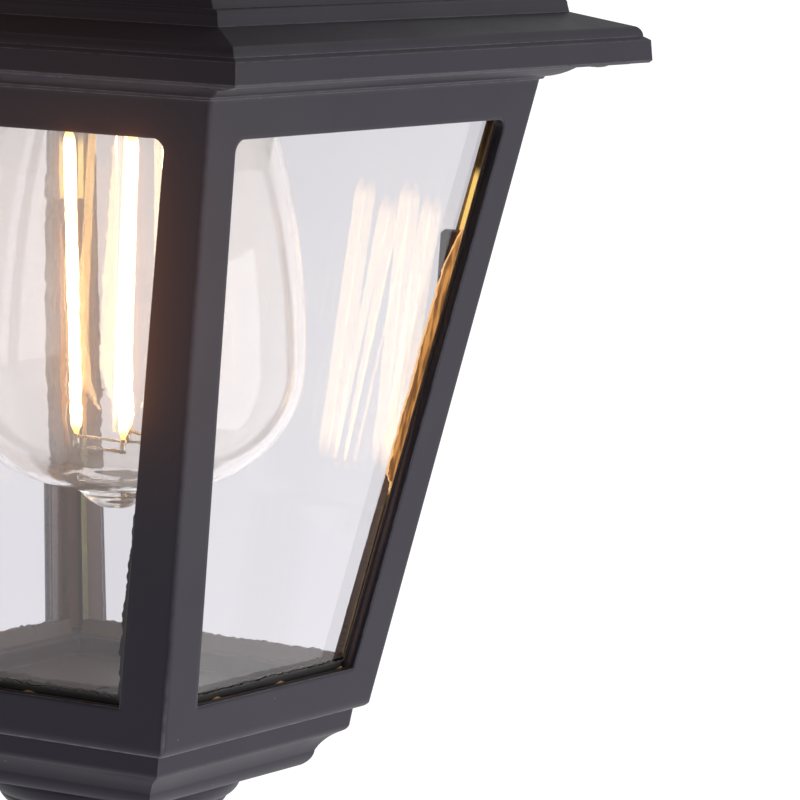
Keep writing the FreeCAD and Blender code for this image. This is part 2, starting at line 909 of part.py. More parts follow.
# Level direction at an angle about the Z axis
def heading_at(degrees):
    return V(math.cos(math.radians(degrees)), math.sin(math.radians(degrees)), 0)


# Upper and lower ends of the filaments, on two rings that are a little out of line
def filament_ends():
    ends = []
    aside = heading_at(filament_turn)
    for index in range(filament_count):
        turn = filament_turn + 360.0 * index / filament_count
        low = heading_at(turn) * filament_low_ring + aside * filament_low_shift
        high = heading_at(turn + filament_twist) * filament_top_ring + aside * filament_top_shift
        ends.append((low + UP * filament_low(), high + UP * (filament_low() + filament_length)))
    return ends


# Glass stem: flared foot at the neck, pressed tube and a thin rod between the filaments
def lamp_stem():
    flare_top = lamp_cap_bottom + lamp_tuck
    press = flare_top - lamp_tuck - stem_press_level
    press_foot = filament_low() + filament_length + stem_press_level
    rod_foot = filament_low() + 2 * wire_radius
    return turned([(0, rod_foot), (stem_rod_radius, rod_foot), (stem_rod_radius, press_foot),
                   (stem_radius, press_foot + stem_radius), (stem_radius, press),
                   (stem_flare_radius, flare_top, stem_flare_hollow), (0, flare_top)])


# LED filaments, as slim round-ended rods
def filaments():
    rods = []
    for low, high in filament_ends():
        heading = high - low
        bar = Part.makeCylinder(filament_radius, heading.Length, low, heading)
        rims = [edge for edge in bar.Edges if len(edge.Vertexes) == 1]
        rods.append(bar.makeFillet(filament_end_round, rims))
    return rods


# Round wire from one point to another
def straight_wire(start, end, radius):
    return Part.makeCylinder(radius, (end - start).Length, start, end - start)


# Wires from the stem to the filaments' upper ends, crimps on their lower ends, and a pair of
# wires that joins the crimps of neighbours
def filament_wires():
    wires = []
    ends = filament_ends()
    hub_level = filament_low() + filament_length + stem_press_level + stem_radius
    crimps = []
    for low, high in ends:
        along = (high - low).normalize()
        out = V(high.x, high.y, 0).normalize()
        hub = out * (stem_radius + slip_gap) + UP * hub_level
        wires.append(straight_wire(hub, high + along * (slip_gap + wire_radius), wire_radius))
        crimp_top = low - along * slip_gap
        crimps.append((crimp_top, crimp_top - UP * crimp_length))
    for first, second in zip(crimps[0::2], crimps[1::2]):
        bridge = straight_wire(first[0], first[1], crimp_radius).fuse(
            straight_wire(second[0], second[1], crimp_radius))
        for drop in (2 * wire_radius, crimp_length - 2 * wire_radius):
            bridge = bridge.fuse(straight_wire(first[0] - UP * drop, second[0] - UP * drop, wire_radius))
        wires.append(bridge)
    return wires


# Cage: posts, rails, flange and floor in one casting
def cage_frame():
    foot_half = cage_half(-cage_height)
    lip_top = -cage_height + rail_lip
    shell = moulded_square([
        (foot_half - rail_lip, -cage_height), (cage_half(lip_top), lip_top, -QUARTER_SAG * rail_lip),
        (cage_top_half, 0)])
    rounded = []
    for level in (-cage_height, 0):
        square = rounded_square(cage_half(level), post_round, level)
        rounded.append(square)
    shell = shell.common(tapered(rounded[0], rounded[1]))
    flange = moulded_square([
        (cage_top_half, 0), (cage_top_half + eaves_lip, eaves_lip, -QUARTER_SAG * eaves_lip),
        (ovolo_half, ovolo_height, -ovolo_round), (flange_half, ovolo_height), (flange_half, flange_top)])
    frame = shell.fuse(flange).removeSplitter()
    inside = cage_frustum(-curb_level, flange_top, cage_wall)
    well_half = cage_half(-curb_level, cage_wall) - curb_width
    well = moulded_square([(well_half, -floor_level), (well_half, -curb_level)])
    window_low = level_rectangle(-window_half(-window_bottom), -2 * cage_top_half,
                                 window_half(-window_bottom), 0, -window_bottom)
    window_high = level_rectangle(-window_half(-window_top), -2 * cage_top_half,
                                  window_half(-window_top), 0, -window_top)
    window = tapered(window_low, window_high)
    upper_corners = [edge for edge in window.Edges
                     if all(abs(vertex.Z + window_top) < 1e-6 for vertex in edge.Vertexes)
                     and abs(edge.CenterOfMass.x) > window_half(-window_top) / 2]
    window = window.makeFillet(window_corner, upper_corners)
    stud_hole = round_bar(finial_stud_radius + thread_gap, -cage_height, -floor_level)
    screw_hole = round_bar(cage_screw_radius + slip_gap, ovolo_height, flange_top)
    screw_hole.translate(V(brim_half - cage_screw_inset, brim_half - cage_screw_inset, 0))
    frame = cut_all(frame, [inside, well, stud_hole] + four_round(window) + four_round(screw_hole))
    for rib in four_round(corner_rib_bar()):
        frame = frame.fuse(rib)
    return cut_all(frame.removeSplitter(), four_round(clip_peg(clip_peg_radius + thread_gap)))


# Rib in the corner of a post, from the curb up to the clip whose peg it takes
def corner_rib_bar():
    wires = []
    for level in (-curb_level, -clip_top):
        wall = cage_half(level, cage_wall)
        root = wall + cage_wall / 2
        face = wall - corner_rib
        nose = wall - corner_rib_nose
        wires.append(Part.makePolygon([V(root, root, level), V(face, root, level), V(face, nose, level),
                                       V(nose, face, level), V(root, face, level), V(root, root, level)]))
    return tapered(wires[0], wires[1])


# Peg of a corner clip, along the diagonal from inside its wedge into the rib
def clip_peg(radius):
    level = -clip_top - clip_peg_drop
    wall = cage_half(level, cage_wall)
    rib_face = (2 * wall - corner_rib - corner_rib_nose) * math.sqrt(0.5)
    wedge = (cage_half(level, pane_inside) - slip_gap) * math.sqrt(2) - clip_edge
    heading = V(1, 1, 0).normalize()
    return Part.makeCylinder(radius, rib_face + clip_peg_bite - wedge, heading * wedge + UP * level, heading)


# Corner clip: a wedge that narrows downwards and rests on two panes, with a peg pressed into the rib
def pane_clip():
    wires = []
    for level, width in ((-clip_top - clip_height, clip_foot_reach), (-clip_top, clip_reach)):
        corner = cage_half(level, pane_inside) - slip_gap
        reach = corner - width
        edge = corner - clip_edge
        wires.append(Part.makePolygon([
            V(corner, corner, level), V(reach, corner, level), V(reach, edge, level),
            V(edge, reach, level), V(corner, reach, level), V(corner, corner, level)]))
    return tapered(wires[0], wires[1]).fuse(clip_peg(clip_peg_radius)).removeSplitter()


# Screw under the brim that holds the cage up
def cage_screw():
    foot = ovolo_height - cage_screw_head_height
    crown = -cap_sag(cage_screw_head_radius, cage_screw_head_height)
    screw = turned([(0, foot), (cage_screw_head_radius, ovolo_height, crown),
                    (cage_screw_radius, ovolo_height), (cage_screw_radius, brim_inside + cage_screw_bite),
                    (0, brim_inside + cage_screw_bite)])
    screw.translate(V(brim_half - cage_screw_inset, brim_half - cage_screw_inset, 0))
    return screw


# Slab along the front wall of the cage between two depths, with a half width for each level
def wall_slab(low, high, half_at, outside, inside):
    wires = []
    for level in (low, high):
        half = half_at(level)
        wires.append(level_rectangle(-half, -cage_half(level, outside),
                                     half, -cage_half(level, inside), level))
    return tapered(wires[0], wires[1])


# Half width of a pane at a level
def pane_half(level):
    return cage_half(level, pane_inside) - pane_corner_gap


# Half width of the opening in a pane seal at a level
def seal_half(level):
    return window_half(level) - seal_show


# Glass pane of the front wall
def front_pane():
    return wall_slab(-pane_bottom, -pane_top, pane_half, pane_outside, pane_inside)


# Pads on the curb in the foot of the front seal, as low round-topped bars
def front_pads():
    pads = []
    reach = cage_half(-curb_level, cage_wall) - thread_gap
    low_round = outline([(pad_half, -curb_level), (-pad_half, -curb_level, -pad_height),
                         (pad_half, -curb_level)])
    bar = Part.Face(Part.Wire(low_round)).extrude(V(0, pad_depth, 0))
    for index in range(pads_per_pane):
        pad = bar.copy()
        pad.translate(V((index - (pads_per_pane - 1) / 2) * pad_spacing + pad_offset, -reach, 0))
        pads.append(pad)
    return pads


# Sealant between the front wall and its pane, and the bed under the pane
def front_seal():
    strips = wall_slab(-curb_level, -pane_top, pane_half, cage_wall, pane_outside)
    opening = wall_slab(-curb_level - seal_foot, -window_top - seal_show, seal_half, 0, pane_inside)
    foot = wall_slab(-curb_level, -pane_bottom, pane_half, pane_outside - seal_lap, pane_inside)
    return cut_all(strips.cut(opening).fuse(foot).removeSplitter(), front_pads())


# Base tray: fascia, cove and round in one shallow dish with a boss for the stud
def base_tray():
    fascia_foot = -cage_height - base_fascia_height
    cove_top = fascia_foot - base_edge_drop
    cove_half = base_fascia_half - base_edge_in
    waist = cove_half - base_cove_run
    foot_half = waist - base_foot_run
    outer = moulded_square([
        (foot_half, -base_bottom), (waist, -cage_height - base_cove_depth, -base_foot_round),
        (cove_half, cove_top, base_cove_hollow), (base_fascia_half, fascia_foot, -base_edge_round),
        (base_half, -cage_height)])
    floor = -base_bottom + base_wall
    well_half = foot_half - base_wall / 2
    hollow = moulded_square([
        (well_half, floor), (well_half, cove_top), (base_fascia_half - base_wall, cove_top + base_wall),
        (base_fascia_half - base_wall, -cage_height)])
    boss = round_bar(base_boss_radius, floor, -cage_height)
    hole = round_bar(finial_stud_radius + slip_gap, -base_bottom, -cage_height)
    return outer.cut(hollow).fuse(boss).removeSplitter().cut(hole)


# Turned drop finial with a blind tapped hole
def finial():
    first = finial_top - finial_bead_height
    second = first - finial_second_height
    neck = finial_top - finial_neck_level
    ring_foot = neck - finial_ring_height
    widest = ring_foot - finial_drop_widest
    tip = ring_foot - finial_drop_height
    crown = -cap_sag(finial_drop_radius, widest - tip)
    body = turned([
        (0, tip), (finial_drop_radius, widest, crown), (finial_drop_neck, ring_foot, -finial_drop_shoulder),
        (finial_neck_radius, ring_foot),
        (finial_ring_radius, ring_foot + finial_ring_height / 2, -finial_ring_round),
        (finial_neck_radius, neck, -finial_ring_round),
        (finial_second_radius - finial_second_in, second, finial_neck_hollow),
        (finial_second_radius, first - finial_second_edge, -finial_second_round),
        (finial_second_radius, first),
        (finial_radius - finial_bead_in, first),
        (finial_radius, finial_top - finial_bead_edge, -finial_bead_round),
        (finial_radius, finial_top), (0, finial_top)])
    return body.cut(round_bar(finial_stud_radius + thread_gap, finial_top - finial_thread_depth, finial_top))


# Stud that pulls finial and base tray up to the tapped cage floor
def finial_stud():
    return round_bar(finial_stud_radius, finial_top - finial_thread_depth + slip_gap, -floor_level - slip_gap)


def main():
    os.makedirs("parts", exist_ok=True)
    export("mounting_strap", [mounting_strap()])
    export("plate_studs", plate_studs())
    export("back_plate", [back_plate()])
    export("plate_gasket", [plate_gasket()])
    export("cap_nuts", cap_nuts())
    export("terminal_block", [terminal_block()])
    export("terminal_screws", terminal_screws())
    export("earth_screw", [earth_screw()])
    export("arm", [arm()])
    export("arm_rosette", [arm_rosette()])
    export("arm_lock_nut", [arm_lock_nut()])
    live, neutral, earth = pole_places()
    export("lead_live", [lamp_lead(live, -1)])
    export("lead_neutral", [lamp_lead(neutral, 1)])
    export("lead_earth", [earth_lead(earth)])

    hanging = {
        "arm_bush": [arm_bush()], "stem_nipple": [stem_nipple()], "nipple_nut": [nipple_nut()],
        "roof_cap": [roof_cap()], "roof": [roof()], "roof_gasket": [roof_gasket()],
        "holder_dome": [holder_dome()], "holder_body": [holder_body()], "holder_insert": [holder_insert()],
        "holder_shell": [holder_shell()], "centre_contact": [centre_contact()],
        "lamp_tip_contact": [lamp_tip_contact()], "lamp_insulator": [lamp_insulator()],
        "lamp_cap": [lamp_cap()], "lamp_glass": [lamp_glass()], "lamp_stem": [lamp_stem()],
        "filaments": filaments(), "filament_wires": filament_wires(),
        "cage_frame": [cage_frame()], "cage_screws": four_round(cage_screw()),
        "pane_clips": four_round(pane_clip()), "base_tray": [base_tray()], "finial": [finial()],
        "finial_stud": [finial_stud()],
    }
    walls = ("front", "right", "rear", "left")
    for wall, pane, seal in zip(walls, four_round(front_pane()), four_round(front_seal())):
        hanging[wall + "_pane"] = [pane]
        hanging[wall + "_seal"] = [seal]
    pads = []
    for pad in front_pads():
        pads += four_round(pad)
    hanging["setting_pads"] = pads
    for name, shapes in hanging.items():
        export(name, shapes, lantern_at)


main()
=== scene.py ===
import json
import math

import bmesh
import bpy
from mathutils import Matrix, Vector, noise


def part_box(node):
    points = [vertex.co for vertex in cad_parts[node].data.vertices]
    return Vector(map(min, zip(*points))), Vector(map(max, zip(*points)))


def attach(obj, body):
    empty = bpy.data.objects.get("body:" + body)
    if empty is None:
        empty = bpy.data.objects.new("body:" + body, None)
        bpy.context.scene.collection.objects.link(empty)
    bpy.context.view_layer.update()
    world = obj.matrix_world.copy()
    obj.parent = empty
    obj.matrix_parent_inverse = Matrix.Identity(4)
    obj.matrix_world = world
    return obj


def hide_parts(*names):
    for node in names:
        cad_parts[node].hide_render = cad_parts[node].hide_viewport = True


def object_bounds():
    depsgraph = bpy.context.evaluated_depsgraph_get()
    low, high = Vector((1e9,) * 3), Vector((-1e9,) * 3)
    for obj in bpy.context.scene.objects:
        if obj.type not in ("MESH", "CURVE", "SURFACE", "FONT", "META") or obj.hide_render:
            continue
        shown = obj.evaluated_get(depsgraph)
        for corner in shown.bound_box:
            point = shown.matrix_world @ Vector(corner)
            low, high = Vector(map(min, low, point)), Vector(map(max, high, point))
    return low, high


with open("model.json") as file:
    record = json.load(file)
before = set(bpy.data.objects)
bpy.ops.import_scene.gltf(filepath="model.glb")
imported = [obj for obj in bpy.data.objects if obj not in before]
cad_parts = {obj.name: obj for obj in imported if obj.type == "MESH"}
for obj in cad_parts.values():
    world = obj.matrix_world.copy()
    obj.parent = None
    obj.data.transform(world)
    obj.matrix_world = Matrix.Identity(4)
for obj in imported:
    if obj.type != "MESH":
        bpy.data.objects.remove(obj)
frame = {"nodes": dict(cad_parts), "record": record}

cad_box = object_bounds()
nodes = frame["nodes"]
slot_of = {part["node"]: part["material_slot"] for part in frame["record"]["subparts"]}

MM = 0.001
UP = Vector((0, 0, 1))
FRONT = Vector((0, -1, 0))

# Camera, placed by the lantern's own edges
CAMERA_PLACE = Vector((-0.7451, -0.6416, -0.0068))
CAMERA_YAW = math.radians(58.22)
CAMERA_PITCH = math.radians(7.03)
CAMERA_ROLL = math.radians(1.76)
CAMERA_LENS = 223.8
CAMERA_CLIP = 0.01

# Studio
WHITE = (1.0, 1.0, 1.0, 1.0)
SKY_TINT = (0.985, 0.965, 0.99, 1.0)
BACKDROP_STRENGTH = 1.1
SHADE_STRENGTH = 0.1
SIDE_STRENGTH = 0.9
SIDE_DROP = 0.3
BEHIND_STRENGTH = 0.58
OVERHEAD_STRENGTH = 0.05
UNDER_STRENGTH = 0.6
WALL_STRENGTH = 0.7
WALL_DIRECTION = Vector((-0.76, 0.53, -0.4)).normalized()
FLOOR_LEVEL = -0.45
FLOOR_HALF = 0.9
FLOOR_GLOW = 0.5
KEY_SIZE = 1.0
KEY_POWER = 5.0
KEY_OFFSET = Vector((0.2, -0.95, -0.35))
BLOOM_THRESHOLD = 1.5
BLOOM_STRENGTH = 0.22
BLOOM_SIZE = 0.4
BLOOM_TINT = (1.0, 0.5, 0.2, 1.0)

# Lantern sizes in millimetres, with levels above the eaves
LANTERN_AXIS = Vector((0, -120, -60))
CAGE_TOP_HALF = 54.75
CAGE_BOTTOM_HALF = 34.15
CAGE_HEIGHT = 118.3
CAGE_SLOPE = (CAGE_TOP_HALF - CAGE_BOTTOM_HALF) / CAGE_HEIGHT
CAGE_WALL = 1.9
WINDOW_TOP = -7.15
WINDOW_BOTTOM = -109.65
POST_WING_TOP = 8.75
POST_WING_BOTTOM = 9.9
CURB_LEVEL = -110.5
PANE_TOP = -2.5
PANE_BOTTOM = -108.3
PANE_OUTSIDE = 2.4
PANE_INSIDE = 5.4
PANE_CORNER_GAP = 1.9
CLIP_TOP = -28.0
CLIP_SHOULDER = 0.7
CLIP_HEIGHT = 14.0
CLIP_REACH = 4.7
CLIP_FOOT_REACH = 1.6
CLIP_EDGE = 0.8
SLIP_GAP = 0.3
WALLS = ("front", "right", "rear", "left")
QUARTER_TURN = math.pi / 2

# Powder coat. Drops are below the eaves and depths are in from the cage's outer faces
BEVEL_SAMPLES = 6
EDGE_ROUND = 0.45
CAGE_EDGE_ROUND = 1.3
COAT_DARK = (0.0085, 0.0076, 0.0132, 1.0)
COAT_LIGHT = (0.0185, 0.017, 0.025, 1.0)
COAT_TINT = (0.9, 0.87, 1.0, 1.0)
MOTTLE_SHARE = 0.4
GRAIN_SHARE = 0.6
DUST = (0.32, 0.31, 0.32, 1.0)
DUST_COVER = 0.6
# Painted highlights: a lighter colour where light catches rounded edges, the posts' corners and the cage's
# foot
EDGE_HIGHLIGHT = (0.17, 0.16, 0.175, 1.0)
HIGHLIGHT_WIDTH = 0.4
HIGHLIGHT_TURNS = (0.02, 0.12)
HIGHLIGHT_PATCHES = (0.1, 0.65)
CORNER_HIGHLIGHT_REACH = (0.2, 0.75)
CORNER_HIGHLIGHT_DEPTHS = (0.4, 0.8)
CORNER_HIGHLIGHT_DROPS = (98.0, 116.0)
CORNER_HIGHLIGHT_LEAST = 0.1
CORNER_HIGHLIGHT_MORE = 0.5
FOOT_HIGHLIGHT_RISES = (0.1, 0.75)
# Painted lamplight on the inside of the cage's walls: a lighter colour that stands in for the light
# falling there
PAINTED_INNER_LIGHT = (0.22, 0.158, 0.16, 1.0)
LINING_DEPTH = 1.7
LINING_NEARER = 1.1
LINING_LOW_DROPS = (50.0, 85.0)
LINING_REAR = (0.0, 10.0)
LINING_UNDER_CURB = 0.35
LINING_CURB_FADE = 0.5
LINING_TOP_FADE = -10.0
# Painted warm lamplight near the lamp, on the inner walls and on the sealant
PAINTED_LAMPLIGHT = (0.24, 0.14, 0.09, 1.0)
PAINTED_LAMPLIGHT_LEVELS = (-80.0, -40.0)

# Sealant
SEAL_STEP = 0.45
SEAL_SHOW = 0.15
SEAL_SHOW_LOW = {"front": (2.0, 0.4), "right": (0.3, 0.9), "rear": (0.4, 1.3), "left": (1.1, 1.9)}
SEAL_SHOW_LEVEL = -45.0
SEAL_RAGGED = 0.16
SEAL_SKIN = 0.3
TOP_RAGGED = 0.3 * SEAL_RAGGED
FOOT_BAND = 0.55
FOOT_RAGGED = 0.3
FOOT_SKIN = 3 * SEAL_SKIN
LIP_RISE = 0.1
LIP_SINK = 0.2
WALL_LOTS = 10
TOP_LOT = 3
FOOT_LOT = 6
LIP_LOT = 8
FRESH_SEAL = ((0.012, 0.011, 0.012, 1.0), (0.03, 0.027, 0.027, 1.0))
# Painted lamplight on the sealant behind and beside the panes, as on the cage's inner walls
LAMPLIT_SEAL = ((0.23, 0.165, 0.16, 1.0), (0.3, 0.215, 0.205, 1.0))
LAMPLIT_BEHIND_DEPTH = 5.55
LAMPLIT_BEHIND_COVER = 0.45
LAMPLIT_BESIDE_DEPTHS = (2.3, 3.0)

# Uneven edges: how fast two patterns change from lot to lot and along the way, and where they are cut
COARSE_LOT = 17.3
COARSE_WAY = 0.3
COARSE_CUT = 0.5
FINE_LOT = 5.1
FINE_WAY = 1.1
FINE_CUT = 9.5
FINE_SHARE = 1.2

# Glass, and the painted glow of the panes' snapped ends by level and depth
PANE_CLEAR = ((0.97, 0.97, 0.985, 1.0), (0.95, 0.95, 0.97, 1.0))
PANE_SMUDGE = 0.012
PANE_INDEX = 1.5
LAMP_CLEAR = ((0.99, 0.985, 0.975, 1.0), (0.975, 0.97, 0.955, 1.0))
LAMP_SMUDGE = 0.006
LAMP_INDEX = 1.54
LAMP_FILM = (1.0, 0.96, 0.9, 1.0)
LAMP_FILM_LEAST = 0.02
LAMP_FILM_MORE = 0.03
FRONT_END = ((0.1, 0.065, 0.045, 1.0), (0.2, 0.13, 0.09, 1.0))
SIDE_END = ((0.2, 0.2, 0.08, 1.0), (0.46, 0.43, 0.2, 1.0))
END_FACING = 0.7
GLOW_FOOT_LEVELS = (-77.0, -68.0)
GLOW_FOOT_CHIPS = 6.0
GLOW_TOP_LEVELS = (-17.5, -15.0)
GLOW_TOP_CHIPS = 2.0
GLOW_CLIP_LEVELS = (-28.6, -27.8)
EDGE_CHIP_DEPTHS = (5.55, 5.8)
EDGE_CHIP_SIZE = 1.6
OUTER_HALF_DEPTHS = (3.9, 4.4)
OUTER_HALF_CHIPS = 0.5
# Painted glow colours of the pane ends, given as emission
INNER_AMBER_GLOW = (0.34, 0.19, 0.09, 1.0)
OUTER_AMBER_GLOW = (0.5, 0.19, 0.02, 1.0)
CHIP_GLOW = (1.0, 0.6, 0.24, 1.0)
BRIGHT_GLOW = (1.0, 0.66, 0.18, 1.0)
# Painted glint: a thin broken line of emission below the lamp
GLINT_DEPTH = 3.1
GLINT_HALF = 0.3
GLINT_PATCHES = (0.36, 0.56)
GLINT_GLOW = (1.0, 0.68, 0.2, 1.0)
SHELL_REACH = 5.0
SHELL_DROPS = (-5.0, 8.0)
SHELL_DEPTH = 5.2
SHELL_RAGGED = 2.0
SHELL_RIM = 0.7
SHELL_STRETCH = (1.0, 1.0, 0.15)
SHELL_STREAKS = (0.36, 0.64)
# Painted streaked glow of the shell and its painted bright rim, given as emission
SHELL_GLOW_DARK = (0.17, 0.07, 0.02, 1.0)
SHELL_GLOW_BRIGHT = (0.66, 0.3, 0.08, 1.0)
SHELL_RIM_GLOW = (1.0, 0.58, 0.24, 1.0)

# Filaments about the lamp's axis, their crimps and wires
FILAMENT_RADIUS = 1.1
FILAMENT_FOOT = -66.2
FILAMENT_HEAD = -10.0
FILAMENT_FEET = ((2.2, -9.0), (5.4, 1.5), (-6.0, 5.1), (-6.6, -5.9))
FILAMENT_HEADS = ((6.6, -4.9), (6.5, 5.5), (-7.0, 7.6), (-3.5, -4.2))
FILAMENT_RINGS = 60
FILAMENT_TAPER = 16.0
FILAMENT_END = 0.35
FILAMENT_UNEVEN = 0.07
FILAMENT_FADE = 5.0
FILAMENT_STRENGTH = 8.5
ROD_SIDES = 14
WIRE_RADIUS = 0.3
CRIMP_RADIUS = 0.6
CRIMP_LENGTH = 2.6
BRIDGE_DROPS = (0.4, 2.3)
BRIDGED = ((0, 1), (2, 3))
HUB_RADIUS = 4.5
HUB_LEVEL = 1.4

# Screws and the lamp's thread
CAGE_SCREW_PLACE = 62.2
CAGE_SCREW_LEVEL = 3.05
CAGE_SCREW = {"Head radius": 2.5, "Head height": 0.7, "Slot width": 0.7, "Slot depth": 0.45, "Cross": 1.0,
              "Shank radius": 1.9, "Shank length": 6.4}
CLAMP_COLUMNS = (-8, 0, 8)
CLAMP_ROWS = (-20.8, -29.2)
CLAMP_OUT = -9.4
CLAMP_SCREW = {"Head radius": 1.75, "Head height": 0.5, "Slot width": 0.5, "Slot depth": 0.4, "Cross": 0.0,
               "Shank radius": 1.75, "Shank length": 2.2}
EARTH_PLACE = Vector((0, -2, 24))
EARTH_SCREW = {"Head radius": 4.0, "Head height": 2.6, "Slot width": 1.0, "Slot depth": 1.1, "Cross": 0.0,
               "Shank radius": 2.0, "Shank length": 2.0}
THREAD_PITCH = 3.629
THREAD_HEIGHT = 0.62
THREAD_TURN_STEPS = 72
THREAD_RISE_STEPS = 96
CAP_WALL = 0.5


class Socket:
    """An output of a node that takes part in arithmetic."""

    def __init__(self, tree, output):
        self.tree = tree
        self.output = output

    def maths(self, operation, *terms):
        return self.tree.node("ShaderNodeMath", {"operation": operation}, dict(enumerate(terms)))

    def __add__(self, other):
        return self.maths("ADD", self, other)

    def __radd__(self, other):
        return self.maths("ADD", other, self)

    def __sub__(self, other):
        return self.maths("SUBTRACT", self, other)

    def __rsub__(self, other):
        return self.maths("SUBTRACT", other, self)

    def __mul__(self, other):
        return self.maths("MULTIPLY", self, other)

    def __rmul__(self, other):
        return self.maths("MULTIPLY", other, self)

    def __truediv__(self, other):
        return self.maths("DIVIDE", self, other)

    def __neg__(self):
        return self.maths("MULTIPLY", self, -1.0)

    def __abs__(self):
        return self.maths("ABSOLUTE", self)

    def __lt__(self, other):
        return self.maths("LESS_THAN", self, other)

    def __gt__(self, other):
        return self.maths("GREATER_THAN", self, other)

    def sine(self):
        return self.maths("SINE", self)

    def larger(self, other):
        return self.maths("MAXIMUM", self, other)


class Tree:
    """A node tree that nodes are added to by type, settings and sockets."""

    def __init__(self, node_tree):
        self.node_tree = node_tree
        node_tree.nodes.clear()

    def node(self, kind, settings=None, sockets=None, result=0):
        node = self.node_tree.nodes.new(kind)
        for name, value in (settings or {}).items():
            setattr(node, name, value)
        for name, value in (sockets or {}).items():
            for one in value if isinstance(value, list) else [value]:
                if isinstance(one, Socket):
                    self.node_tree.links.new(one.output, node.inputs[name])
                else:
                    node.inputs[name].default_value = one
        return Socket(self, node.outputs[result] if node.outputs else None)

    def dot(self, first, second):
        """How far one direction lies along another."""
        return self.node("ShaderNodeVectorMath", {"operation": "DOT_PRODUCT"}, {0: first, 1: second},
                         "Value")


class Finish(Tree):
    """A material and the patterns that its surface is built from."""

    def __init__(self, name):
        self.material = bpy.data.materials.new(name)
        self.material.use_nodes = True
        super().__init__(self.material.node_tree)
        self.place = self.node("ShaderNodeTexCoord", result="Object")

    def noise(self, scale, detail=2.0, roughness=0.5, place=None):
        return self.node("ShaderNodeTexNoise", {}, {"Vector": place or self.place, "Scale": scale,
                                                    "Detail": detail, "Roughness": roughness})

    def cells(self, scale, result):
        return self.node("ShaderNodeTexVoronoi", {}, {"Vector": self.place, "Scale": scale}, result)

    def specks(self, scale, size, share):
        """Round specks in a share of the cells of a random pattern."""
        distance = self.cells(scale, "Distance")
        lot = self.node("ShaderNodeSeparateColor", {}, {"Color": self.cells(scale, "Color")}, "Red")
        return (distance < lot * size) * (lot > 1 - share)

    def rise(self, value, low, high):
        """Smooth step from nought at one value to one at another."""
        return self.node("ShaderNodeMapRange", {"interpolation_type": "SMOOTHSTEP"},
                         {"Value": value, "From Min": low, "From Max": high})

    def along(self, vector, axis):
        return self.node("ShaderNodeSeparateXYZ", {}, {"Vector": vector}, axis)

    def level(self):
        """Height above the eaves in millimetres."""
        return self.along(self.place, "Z") / MM - LANTERN_AXIS.z

    def drop(self):
        """Depth below the eaves in millimetres."""
        return -self.level()

    def out(self, axis):
        """Distance from the lantern's axis along one axis, in millimetres."""
        return abs(self.along(self.place, axis) / MM - LANTERN_AXIS["XYZ".index(axis)])

    def cage_depth(self):
        """Depth in from the cage's outer faces in millimetres."""
        return CAGE_TOP_HALF + CAGE_SLOPE * self.level() - self.out("X").larger(self.out("Y"))

    def mix(self, share, low, high):
        return self.node("ShaderNodeMix", {"data_type": "RGBA"}, {0: share, 6: low, 7: high}, 2)

    def bevel(self, radius):
        """Direction of a face whose edges are rounded by a radius in millimetres."""
        return self.node("ShaderNodeBevel", {"samples": BEVEL_SAMPLES}, {"Radius": radius * MM})

    def bump(self, height, strength, depth, edge_round=0.0):
        """Relief of a depth, on edges rounded by a radius, both in millimetres."""
        sockets = {"Height": height, "Strength": strength, "Distance": depth * MM}
        if edge_round:
            sockets["Normal"] = self.bevel(edge_round)
        return self.node("ShaderNodeBump", {}, sockets)

    def surface(self, sockets):
        return self.node("ShaderNodeBsdfPrincipled", {}, sockets)

    def blend(self, share, first, second):
        return self.node("ShaderNodeMixShader", {}, {0: share, 1: first, 2: second})

    def done(self, shader):
        self.node("ShaderNodeOutputMaterial", {}, {"Surface": shader})
        return self.material


# Half width of the cage at a level, measured a depth in from its outer face
def cage_half(level, depth=0.0):
    return CAGE_TOP_HALF + level * CAGE_SLOPE - depth * math.hypot(1, CAGE_SLOPE)


def window_half(level):
    share = (level - WINDOW_TOP) / (WINDOW_BOTTOM - WINDOW_TOP)
    return cage_half(level) - POST_WING_TOP - share * (POST_WING_BOTTOM - POST_WING_TOP)


def pane_half(level):
    return cage_half(level, PANE_INSIDE) - PANE_CORNER_GAP


def grey(value):
    return (value, value, value, 1.0)


# Painted lamplight on the inside of the cage's walls, turning to a painted warm glow near the lamp, over
# the body of the coat. Low down and at the rear it starts nearer the outer faces
def cage_painted_inner_light(coat, body):
    low = coat.rise(coat.drop(), *LINING_LOW_DROPS)
    rear = coat.rise(coat.along(coat.place, "Y") / MM - LANTERN_AXIS.y, *LINING_REAR)
    inside = coat.rise(coat.cage_depth(), LINING_DEPTH - LINING_NEARER * low.larger(rear), CAGE_WALL)
    above_curb = coat.rise(coat.level(), CURB_LEVEL, CURB_LEVEL + LINING_CURB_FADE)
    below_flange = 1 - coat.rise(coat.level(), LINING_TOP_FADE, WINDOW_TOP)
    lamplight = coat.mix(coat.rise(coat.level(), *PAINTED_LAMPLIGHT_LEVELS), PAINTED_INNER_LIGHT, PAINTED_LAMPLIGHT)
    cover = LINING_UNDER_CURB + (1 - LINING_UNDER_CURB) * above_curb
    return coat.mix(inside * cover * below_flange, body, lamplight)


# Painted highlights down the outer corners of the cage's posts, stronger low down, and along its foot
def cage_painted_highlights(coat):
    corner = 1 - coat.rise(abs(coat.out("X") - coat.out("Y")), *CORNER_HIGHLIGHT_REACH)
    outside = 1 - coat.rise(coat.cage_depth(), *CORNER_HIGHLIGHT_DEPTHS)
    low = CORNER_HIGHLIGHT_LEAST + CORNER_HIGHLIGHT_MORE * coat.rise(coat.drop(), *CORNER_HIGHLIGHT_DROPS)
    foot = 1 - coat.rise(coat.level() + CAGE_HEIGHT, *FOOT_HIGHLIGHT_RISES)
    return (corner * outside * low).larger(foot)
